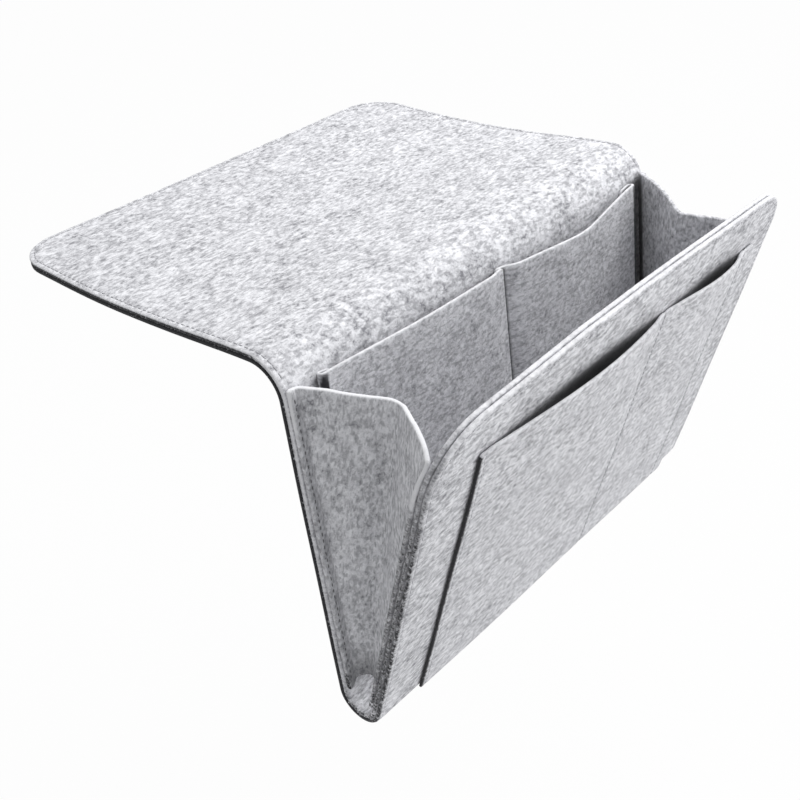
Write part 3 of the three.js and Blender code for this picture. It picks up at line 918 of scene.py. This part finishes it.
def gusset_half(plan, side, own_wall, other_wall):
    """The middle surface of one gusset half: u runs from the flange's free edge to the crease."""
    def section(wall, run, up):
        turn = np.clip((run - plan.flange) / FOLD_RADIUS, 0.0, plan.turn)
        past = np.clip(run - plan.seam, 0.0, None)
        share = np.clip(past / plan.panel(up), 0.0, 1.0)
        belly = BELLY * np.sin(math.pi * share) ** 2 * smooth(up, 20 * MM, 110 * MM)
        x = HALF_WIDTH - EDGE_INSET - np.minimum(run, plan.flange) - FOLD_RADIUS * np.sin(turn)
        off = FLANGE_OFF + FOLD_RADIUS * (1.0 - np.cos(turn))
        x = x - math.sin(plan.lean) * past + math.cos(plan.lean) * belly
        off = off + math.cos(plan.lean) * past + math.sin(plan.lean) * belly
        return wall(side * x, up, off)

    def surface(u, v):
        corner = plan.seam + plan.panel(v)
        eased = corner - plan.ease(v)
        bent = np.clip((u - eased) / (CREASE_SPAN * plan.ease(v)), 0.0, 1.2)[:, None]
        start = section(own_wall, np.minimum(u, eased), v)
        peak = section(own_wall, corner, v)
        end = section(other_wall, eased, v)
        turned = (1 - bent) ** 2 * start + 2 * bent * (1 - bent) * peak + bent ** 2 * end
        return np.where(bent > 0.0, turned, start)
    return surface


left_panel = float(plans["left"].panel(BACK_HEIGHT))
print("left crease lies", round(left_panel / MM, 1), "mm from its folds at the top")

# %% Gusset outlines
def wall_edge(corner):
    """How high the front wall's edge stands, as a function of the distance from its side."""
    rise = STRIP_LENGTH - FRONT_AT - (LEFT_DROP if corner == LEFT_CORNER else 0.0)

    def edge(u):
        return rise - corner + np.sqrt(np.maximum(corner ** 2 - (corner - np.minimum(u, corner)) ** 2, 0.0))
    return edge


def gusset_cut(plan, sill, top, limit, past=0.0):
    """The flat cut of a gusset half. sill and top list heights against the way from the free edge, limit caps
    the flange, and past moves the crease side out."""
    def height(marks, run):
        return np.interp(run, [mark[0] * MM for mark in marks], [mark[1] * MM for mark in marks])

    def capped(run):
        rise = height(top, run)
        if limit is None or run > plan.flange:
            return rise
        return min(rise, float(limit(run + EDGE_INSET)) - EDGE_CLEARANCE)

    low, high = sill[-1][1] * MM, top[-1][1] * MM
    first, last = float(plan.end(low)), float(plan.end(high))
    corners = [(0.0, height(sill, 0.0), 1.0 * MM)]
    corners += [(run, height(sill, run), 0.0) for run in spaced(2.0 * MM, first - 1.0 * MM, 2.0 * MM)]
    corners += [(float(plan.end(up)) + past, up, 0.0) for up in spaced(low, high, 6.0 * MM)]
    corners += [(run, capped(run), 0.0) for run in spaced(1.5 * MM, last - 1.5 * MM, 1.5 * MM)[::-1]]
    corners += [(0.0, capped(0.0) - 1.0 * MM, 0.0)]
    return soft_outline(corners, 2.0 * MM)


ARCH = (13, 12.0), (17, 12.0)
SILLS = {"back": ((0, 4.0), (3, 4.5), (8, 10.5), *ARCH), "front": ((0, 2.0), (5, 3.0), (9, 7.0), *ARCH)}
TOPS = {("left", "back"): ((0, 204.0), (3, 203.5), (12, 202.1), (21, 200.9), (28, 199.0), (36, 197.2),
                           (46, 194.9), (54, 193.0)),
        ("left", "front"): ((0, 200.0), (6, 203.0), (13, 205.3), (20, 205.3), (29, 203.8), (40, 199.2),
                            (47, 195.8), (53, 193.0)),
        ("right", "back"): ((0, 201.0), (6, 203.5), (20, 202.0), (33, 198.5), (44, 194.5), (51, 190.5)),
        ("right", "front"): ((0, 196.5), (6, 195.5), (20, 193.8), (33, 192.5), (51, 190.5))}
LIMITS = {("left", "front"): wall_edge(LEFT_CORNER), ("right", "front"): wall_edge(RIGHT_CORNER)}
gusset_cuts = {(word, part): gusset_cut(plans[word], SILLS[part], top, LIMITS.get((word, part)))
               for (word, part), top in TOPS.items()}
print("gusset halves cut:", [len(cut) for cut in gusset_cuts.values()], "points round each")

# %% Gussets
def plain_height(u, v, depth, side):
    """Half thickness of an unsewn felt."""
    return rim_height(depth)


TONGUE_HALF = 0.3 * MM
TONGUE_OUT = 0.38
TONGUE_IN = 0.2


def tongue_height(u, v, depth, side):
    """Half thickness of the tongue inside the crease."""
    return np.full_like(u, TONGUE_HALF)


def gusset_tone(side_tone, top_tone, hole_tone):
    """Painted light and shade on a gusset's cut edge: along its flange, along its top and round the cable
    hole.
    """
    def tone(u, v, h):
        rise = side_tone + (top_tone - side_tone) * smooth(v, 165 * MM, 185 * MM)
        return rise + (hole_tone - rise) * (1.0 - smooth(v, 13 * MM, 20 * MM))
    return tone


# below 0 a painted highlight, above 0 painted shade; the dark round the cable hole is painted shade
GUSSET_TONES = {("left", "back"): gusset_tone(0.2, -0.9, 1.3), ("left", "front"): gusset_tone(0.6, -0.9, 1.0),
                ("right", "back"): gusset_tone(0.2, 0.0, 0.8), ("right", "front"): gusset_tone(0.2, 0.0, 0.8)}


FOLD_SHADE = 0.9
HOLE_SHADE = 0.5
FLANGE_SHADE = 0.25


def along_fold(u, v, h):
    """Shade in the corner between the right gusset and the back wall."""
    return FOLD_SHADE * (1.0 - smooth(u, 9 * MM, 12 * MM)) * smooth(v, 60 * MM, 100 * MM) * (h < 0.0)


def over_hole(u, v, h):
    """Painted shade above the cable hole and on the flange."""
    return np.maximum(HOLE_SHADE * (1.0 - smooth(v, 10 * MM, 42 * MM)),
                      FLANGE_SHADE * (1.0 - smooth(u, 6 * MM, 8 * MM)))


GUSSET_SHADES = {("left", "back"): over_hole, ("left", "front"): over_hole, ("right", "back"): along_fold}
GUSSET_RINGS = [0.0, 0.30 * MM, 0.9 * MM]
GUSSET_APART = 1.3
gusset_along = spaced(6.0 * MM, 206.0 * MM, 4.0 * MM)
tongue_up = spaced(18.0 * MM, 189.0 * MM, 8.0 * MM)
gussets = {}
for (word, part), cut in gusset_cuts.items():
    plan = plans[word]
    side = -1 if word == "left" else 1
    own, other = (back_point, front_point) if part == "back" else (front_point, back_point)
    across = np.concatenate([spaced(1.5 * MM, plan.seam, 0.8 * MM),
                             spaced(plan.seam + 2 * MM, 62 * MM, 2.0 * MM)])
    free = gusset_cut(plan, SILLS[part], TOPS[word, part], LIMITS.get((word, part)), 5.0 * MM)
    half = flat_felt(cut, across, gusset_along, GUSSET_RINGS, plain_height, free)
    if part == "back":
        reach = CREASE_SPAN * plan.ease(tongue_up)
        crease = plan.end(tongue_up)
        tongue_cut = np.concatenate([np.column_stack([crease + TONGUE_OUT * reach, tongue_up]),
                                     np.column_stack([crease - TONGUE_IN * reach, tongue_up])[::-1]])
        tongue_cut = soft_outline([(*spot, 0.0) for spot in tongue_cut], 3.0 * MM)
        half = together(half, flat_felt(tongue_cut, across, gusset_along, GUSSET_RINGS, tongue_height))
    turned = -1 if part == "back" else 1
    gussets[word, part] = lay_felt(
        word + "_gusset_" + part + "_felt", half, gusset_half(plan, side, own, other), gusset_felt,
        GUSSET_TONES[word, part], roll=lambda u, v: (v, turned * (plan.end(v) - u) + GUSSET_APART * side),
        shade=GUSSET_SHADES.get((word, part)))

# %% [markdown]
# ## The inner pockets
#
# Two pockets of a thinner felt share a seam on the back wall. The right one is sewn flat there, and the left
# one lies over its edge. Each stands a few millimetres off the wall and turns back under itself in a tight
# pleat at its outer end, so that it can open. The right one hangs a little slack along its top. The surface
# follows that path across, and the swell fades towards the foot seam.

# %% Inner pocket surfaces
POCKET_FELT = 2.1 * MM
POCKET_OFF = LAYER_GAP + POCKET_FELT / 2
POCKET_SEAM = 5.0 * MM
INNER_END = 141.0 * MM
INNER_FOOT = 42.0 * MM
INNER_STANDOFF = 4.6 * MM
PLEAT_RUN = math.pi * INNER_STANDOFF / 2
HEM_RUN = 7.0 * MM
SWELL_RISE = 24.0 * MM
PRESSED_EASE = 14.0 * MM


def inner_pocket(side, seam_x, first_off, pressed, middle_lift):
    """The middle surface of an inner pocket: u runs from the shared seam outwards and round the pleat."""
    flat_run = INNER_END - POCKET_FELT / 2 - INNER_STANDOFF / 2 - side * seam_x

    def surface(u, v):
        full = smooth(v, INNER_FOOT + POCKET_SEAM, INNER_FOOT + POCKET_SEAM + SWELL_RISE)
        swell = first_off + (INNER_STANDOFF - first_off) * full * smooth(u, pressed, pressed + PRESSED_EASE)
        swell = swell + middle_lift * full * np.sin(math.pi * np.clip(u / flat_run, 0.0, 1.0)) ** 2
        least = (POCKET_FELT + LAYER_GAP) * smooth(u, flat_run - 30 * MM, flat_run - 4 * MM)
        swell = np.maximum(swell, least)
        turn = np.clip((u - flat_run) / PLEAT_RUN, 0.0, 1.0) * math.pi
        hem = np.clip(u - flat_run - PLEAT_RUN, 0.0, None)
        x = side * seam_x + np.minimum(u, flat_run) + swell / 2 * np.sin(turn) - hem
        off = POCKET_OFF + swell / 2 * (1.0 + np.cos(turn))
        return back_point(side * x, v, off)
    return surface, flat_run


left_surface, left_run = inner_pocket(-1, 5.0 * MM, POCKET_FELT + LAYER_GAP, 0.0, 1.0 * MM)
right_surface, right_run = inner_pocket(1, 1.5 * MM, 0.0, 3.5 * MM, 2.5 * MM)
print("inner pockets run", round(left_run / MM), "and", round(right_run / MM), "mm before the pleat")

# %% Cutting the inner pockets
TOP_STEPS = 81
TOP_WINDOW = 13


def inner_cut(flat_run, rises):
    """The flat cut of an inner pocket. Its top runs through rises, as shares of the way and millimetres."""
    reach = flat_run + PLEAT_RUN + HEM_RUN
    along = np.linspace(flat_run, 1.5 * MM, 40)
    shares, heights = zip(*rises)
    steps = np.linspace(0.0, 1.0, TOP_STEPS)
    coarse = np.pad(np.interp(steps, shares, heights), TOP_WINDOW // 2, "edge")
    eased = np.convolve(coarse, np.full(TOP_WINDOW, 1.0 / TOP_WINDOW), "valid")
    top = BACK_HEIGHT + MM * np.interp(along / flat_run, steps, eased)
    corners = [(0.0, INNER_FOOT, 1.5 * MM), (reach, INNER_FOOT, 2.5 * MM)]
    corners += [(reach, top[0] - 2.5 * MM, 2.5 * MM), (flat_run + PLEAT_RUN * 0.5, top[0] - 0.4 * MM, 0.0)]
    corners += [(u, v, 0.0) for u, v in zip(along, top)]
    corners += [(0.0, top[-1] - 1.0 * MM, 0.0)]
    return soft_outline(corners, 2.0 * MM), reach


def pocket_tone(u, v, h):
    """A painted highlight along the top cut edge, and a little painted shade below it."""
    return 0.15 - 0.75 * smooth(v, 150 * MM, 175 * MM)


PLEAT_SHADE = 0.99
OVERLAP_SHADE = 0.9
RIDGE_WIDTH = 0.5 * MM


def in_pleat(flat_run, overlap):
    """Shade in the pleat, and along the seam where the other pocket overlaps this one by so much."""
    def shade(u, v, h):
        ridge = np.exp(-((u - flat_run - 0.5 * PLEAT_RUN) / RIDGE_WIDTH) ** 2)
        pleat = PLEAT_SHADE * smooth(u, flat_run - 0.8 * MM, flat_run + 0.2 * MM) * (1.0 - 0.95 * ridge)
        seam = OVERLAP_SHADE * (1.0 - smooth(u, overlap + 2.4 * MM, overlap + 4.4 * MM)) * (overlap > 0.0)
        return np.maximum(pleat, seam)
    return shade


INNER_SEAM = INNER_FOOT + 3.0 * MM


def pocket_height(u, v, depth, side):
    """Half thickness of an inner pocket, pressed along the foot."""
    return rim_height(depth, POCKET_FELT) - groove(v - INNER_SEAM, 0.25 * MM, 0.9 * MM)


left_loop, left_reach = inner_cut(left_run, [(0.0, 4.0), (0.5, 6.0), (1.0, 9.5)])
right_rises = [(0.0, 4.0), (0.28, 1.0), (0.6, -3.0), (0.9, 4.0), (1.0, 6.5)]
right_loop, right_reach = inner_cut(right_run, right_rises)
pocket_along = spaced(INNER_SEAM, BACK_HEIGHT + 12 * MM, 4.0 * MM)
inner_pockets = []
for word, surface, loop, run, reach, place, overlap in (
        ("left", left_surface, left_loop, left_run, left_reach, apart(2.4, 0.2), 0.0),
        ("right", right_surface, right_loop, right_run, right_reach, apart(3.1, 0.5), 3.5 * MM)):
    across = np.concatenate([spaced(2 * MM, 11 * MM, 1.0 * MM), spaced(15 * MM, run - 4 * MM, 5 * MM),
                             spaced(run - 1 * MM, reach, 0.4 * MM)])
    felt = flat_felt(loop, across, pocket_along, RIM_RINGS, pocket_height)
    inner_pockets.append(lay_felt(word + "_inner_pocket_felt", felt, surface, pocket_felt, pocket_tone,
                                  roll=place, shade=in_pleat(run, overlap)))
left_pocket, right_pocket = inner_pockets

# %% [markdown]
# ## The outer pocket
#
# One felt is sewn to the front wall along its sides, and once more down a line that divides it in two. There
# is a little more felt than wall between the seams, so each mouth stands open towards its right end. It
# follows the strip's own walk, so it turns with the foot bend as well.

# %% Outer pocket
OUTER_FOOT = -4.0 * MM
WIDE_MOUTH = 5.2 * MM
NARROW_MOUTH = 4.2 * MM
OUTER_CORNER = 2.5 * MM
OUTER_GROOVES = ((OUTER_DIVIDER, 0.55 * MM, 1.2 * MM), (OUTER_SEAM, 0.5 * MM, 1.1 * MM),
                 (OUTER_LEFT_SEAM, 0.25 * MM, 1.0 * MM))


def outer_surface(u, v):
    """The outer pocket's middle: u across, v up from the level of the foot bend."""
    wide, narrow = mouths(u)
    swell = (WIDE_MOUTH * wide + NARROW_MOUTH * narrow) * smooth(v, 40 * MM, OUTER_TOP) ** 1.2
    return strip_point(u, FRONT_AT + v, -(STRIP / 2 + POCKET_OFF + swell))


def outer_height(u, v, depth, side):
    """Half thickness of the outer pocket, pressed along its seams."""
    half = rim_height(depth, POCKET_FELT)
    for line, deep, wide in OUTER_GROOVES:
        half = half - groove(u - line, deep, wide)
    return half


outer_loop = soft_outline([(u, v, OUTER_CORNER) for u, v in (
    (OUTER_LEFT, OUTER_FOOT), (OUTER_RIGHT, OUTER_FOOT), (OUTER_RIGHT, OUTER_TOP), (OUTER_LEFT, OUTER_TOP))],
    2.0 * MM)
beside_seam = spaced(-3 * MM, 3 * MM, 0.75 * MM)
outer_across = np.unique(np.concatenate([
    spaced(OUTER_LEFT, OUTER_RIGHT, 4.5 * MM),
    *(line + beside_seam for line in (OUTER_LEFT_SEAM, OUTER_DIVIDER, OUTER_SEAM))]))
outer_along = np.concatenate([spaced(OUTER_FOOT, 0.0, 1.5 * MM), spaced(5 * MM, OUTER_TOP, 5 * MM)])


def outer_tone(u, v, h):
    """A painted highlight on the lip and painted shade on the cut sides, the left one near black."""
    sides = np.where(u < OUTER_LEFT + 2.5 * MM, 2.6, np.where(u > OUTER_RIGHT - 2.5 * MM, 1.2, 0.5))
    return np.where(v > OUTER_TOP - 1.5 * MM, -0.5, sides)


outer_cut = flat_felt(outer_loop, outer_across, outer_along, RIM_RINGS, outer_height)
outer_pocket = lay_felt("outer_pocket_felt", outer_cut, outer_surface, pocket_felt, outer_tone,
                        roll=apart(4.2, 0.7))

# %% [markdown]
# ## Stitches
#
# A lockstitch shows as a row of short thread ends, each sunk at both its holes. Hundreds of them follow the
# seams, so Geometry Nodes makes them: a path becomes a curve, is divided at the stitch pitch, and a small
# drawn-out bead is set along it. The result is turned into a plain mesh for each group of seams.

# %% Stitch tree
STITCH_SIZES = {"Pitch": 4.2 * MM, "Stitch Length": 3.3 * MM, "Thread": 0.85 * MM}

stitching = bpy.data.node_groups.new("sewn_seam", "GeometryNodeTree")
stitching.interface.new_socket("Path", in_out="INPUT", socket_type="NodeSocketGeometry")
for name, start in STITCH_SIZES.items():
    stitching.interface.new_socket(name, in_out="INPUT", socket_type="NodeSocketFloat").default_value = start
stitching.interface.new_socket("Finish", in_out="INPUT", socket_type="NodeSocketMaterial")
stitching.interface.new_socket("Seam", in_out="OUTPUT", socket_type="NodeSocketGeometry")
seam_in = add_node(stitching, "NodeGroupInput").outputs
curve = add_node(stitching, "GeometryNodeMeshToCurve", {0: seam_in["Path"]})
spacing = add_node(stitching, "GeometryNodeResampleCurve",
                   {"Curve": curve.outputs[0], "Length": seam_in["Pitch"]}, mode="LENGTH")
bead = add_node(stitching, "GeometryNodeMeshUVSphere", {"Segments": 6, "Rings": 4, "Radius": 0.5})
tangent = add_node(stitching, "GeometryNodeInputTangent")
aligned = add_node(stitching, "FunctionNodeAlignRotationToVector", {"Vector": tangent.outputs[0]}, axis="X")
bead_size = add_node(stitching, "ShaderNodeCombineXYZ",
                     {"X": seam_in["Stitch Length"], "Y": seam_in["Thread"], "Z": seam_in["Thread"]})
beads = add_node(stitching, "GeometryNodeInstanceOnPoints",
                 {"Points": spacing.outputs[0], "Instance": bead.outputs["Mesh"],
                  "Rotation": aligned.outputs[0], "Scale": bead_size.outputs[0]})
real = add_node(stitching, "GeometryNodeRealizeInstances", {0: beads.outputs[0]})
painted = add_node(stitching, "GeometryNodeSetMaterial",
                   {"Geometry": real.outputs[0], "Material": seam_in["Finish"]})
add_node(stitching, "NodeGroupOutput", {"Seam": painted.outputs[0]})
socket_of = {item.name: item.identifier for item in stitching.interface.items_tree if item.in_out == "INPUT"}
print("stitch tree has", len(stitching.nodes), "nodes")

# %% Sewing
def sew(name, paths, thread=grey_thread):
    """A plain mesh of stitches along open paths."""
    spots, links = [], []
    for path in paths:
        links.extend((len(spots) + k, len(spots) + k + 1) for k in range(len(path) - 1))
        spots.extend(tuple(spot) for spot in path)
    guide_mesh = bpy.data.meshes.new(name + "_guide")
    guide_mesh.from_pydata(spots, links, [])
    guide = bpy.data.objects.new(name + "_guide", guide_mesh)
    bpy.context.scene.collection.objects.link(guide)
    machine = guide.modifiers.new("sewn_seam", "NODES")
    machine.node_group = stitching
    for title, size in STITCH_SIZES.items():
        machine[socket_of[title]] = size
    machine[socket_of["Finish"]] = thread
    bpy.context.view_layer.update()
    mesh = bpy.data.meshes.new_from_object(guide.evaluated_get(bpy.context.evaluated_depsgraph_get()))
    mesh.name = name
    guide.modifiers.clear()
    bpy.data.objects.remove(guide)
    bpy.data.meshes.remove(guide_mesh)
    mesh.polygons.foreach_set("use_smooth", [True] * len(mesh.polygons))
    seam = bpy.data.objects.new(name, mesh)
    bpy.context.scene.collection.objects.link(seam)
    print(name, len(mesh.polygons), "faces")
    return seam


seam_loop = inset(strip_outline, SEAM_INSET)


def edge_seam(height, keep):
    """Runs of the strip's edge seam on one face, where keep(u, v) holds."""
    wanted = keep(seam_loop[:, 0], seam_loop[:, 1])
    first = int(np.argmin(wanted)) if not wanted.all() else 0
    runs, run = [], []
    for k in np.roll(np.arange(len(seam_loop)), -first):
        if wanted[k]:
            run.append(k)
        elif run:
            runs.append(run)
            run = []
    if run:
        runs.append(run)
    places = strip_point(seam_loop[:, 0], seam_loop[:, 1], np.full(len(seam_loop), height))
    return [places[ids] for ids in runs if len(ids) > 3]


SEAM_HEIGHT = STRIP / 2 - 0.45 * MM
over_bed_seam = sew("over_bed_edge_seam", edge_seam(SEAM_HEIGHT, lambda u, v: v < BACK_AT - 12 * MM)
                    + edge_seam(-SEAM_HEIGHT, lambda u, v: v < DIVIDE_AT))
pouch_seam = sew("pouch_edge_seam", edge_seam(-SEAM_HEIGHT, lambda u, v: v > DIVIDE_AT)
                 + edge_seam(SEAM_HEIGHT, lambda u, v: v > FRONT_AT + 193 * MM), pale_thread)

# %% Pocket seams
def line_on(surface, first, last, height):
    """A straight seam on a flat cut, laid on its surface and raised by height."""
    share = np.linspace(0.0, 1.0, 90)
    u, v = (start + (end - start) * share for start, end in zip(first, last))
    place, normal = surface_frame(surface, u, v)
    return place + normal * height


outer_seams = sew("outer_pocket_seams", [
    line_on(outer_surface, (line, -1 * MM), (line, OUTER_TOP - 3 * MM), height) for line, height in (
        (OUTER_DIVIDER, -0.75 * MM), (OUTER_SEAM, -0.75 * MM), (OUTER_LEFT_SEAM, -0.85 * MM))], pale_thread)
inner_seams = sew("inner_pocket_seams", [
    line_on(surface, (6 * MM, INNER_SEAM), (run - 6 * MM, INNER_SEAM), -0.85 * MM)
    for surface, run in ((left_surface, left_run), (right_surface, right_run))], pale_thread)


FLANGE_SEAM_X = 157.4 * MM


def flange_lines(wall, low, high):
    """The two seams that hold the gussets to a wall."""
    up = spaced(low, high, 4.0 * MM)
    across = np.full_like(up, FLANGE_SEAM_X)
    off = np.full_like(up, FLANGE_OFF + FELT / 2 - 0.15 * MM)
    return [wall(side * across, up, off) for side in (-1.0, 1.0)]


gusset_back_seams = sew("gusset_back_seams", flange_lines(back_point, 13 * MM, 197 * MM), dark_thread)
gusset_front_seams = sew("gusset_front_seams", flange_lines(front_point, 11 * MM, 182 * MM), dark_thread)

# %% [markdown]
# ## Joining the looks to the motion
#
# The inner pockets, their seam and the gussets' back seams follow the back wall's body, and the gussets'
# front seams follow the front wall's. The strip's felts and seams, the outer pocket with its seams and the
# gusset halves are fixed in the frame's coordinates. The solids that these felts stand for are hidden.

# %% Motion
FOLD_SPAN = (155.5 * MM, 150.5 * MM)


for piece in (flap_upper, flap_lower, over_bed_seam):
    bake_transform(piece)
for piece in (pouch_inner, pouch_outer, pouch_seam, outer_pocket, outer_seams):
    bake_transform(piece)
for piece in (left_pocket, right_pocket, inner_seams, gusset_back_seams):
    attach(piece, "back_wall")
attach(gusset_front_seams, "front_wall")
for (word, part), piece in gussets.items():
    spot = back_foot if part == "back" else front_foot
    side = -1.0 if word == "left" else 1.0
    start, end = ((side * x, float(spot[0]), float(spot[1])) for x in FOLD_SPAN)
    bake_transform(piece)
    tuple(start)
    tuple(end)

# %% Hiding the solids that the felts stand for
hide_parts("flap_upper_felt", "flap_bend_upper_felt")
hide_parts("flap_lower_felt", "flap_bend_lower_felt")
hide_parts("back_wall_inner_felt", "foot_bend_inner_felt", "front_wall_inner_felt")
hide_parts("back_wall_outer_felt", "foot_bend_outer_felt", "front_wall_outer_felt")
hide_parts("left_inner_pocket")
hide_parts("right_inner_pocket")
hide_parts("outer_pocket")
for word in ("left", "right"):
    nodes = [word + "_gusset_" + part
             for part in ("back_flange", "back_panel", "crease", "front_panel", "front_flange")]
    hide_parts(*nodes[:3])
    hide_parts(*nodes[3:])
print("solids hidden:", len(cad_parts))

# %% Cut sizes of the felts
def loop_area(loop):
    """Area inside an outline."""
    after = np.roll(loop, -1, axis=0)
    return 0.5 * abs(float(np.sum(loop[:, 0] * after[:, 1] - after[:, 0] * loop[:, 1])))


def declare(piece, loop):
    """Prints the size a piece was cut to."""
    wide, long = (float(side) for side in loop.max(axis=0) - loop.min(axis=0))
    min(loop_area(loop), wide * long)
    print(piece.name, "cut", round(wide / MM), "x", round(long / MM), "mm")


over_bed_loop = strip_outline[strip_outline[:, 1] <= DIVIDE_AT]
pouch_loop = strip_outline[strip_outline[:, 1] >= DIVIDE_AT]
declare(flap_upper, over_bed_loop)
declare(flap_lower, over_bed_loop)
declare(pouch_inner, pouch_loop)
declare(pouch_outer, pouch_loop)
for (word, part), piece in gussets.items():
    declare(piece, gusset_cuts[word, part])
declare(left_pocket, left_loop)
declare(right_pocket, right_loop)
declare(outer_pocket, outer_loop)
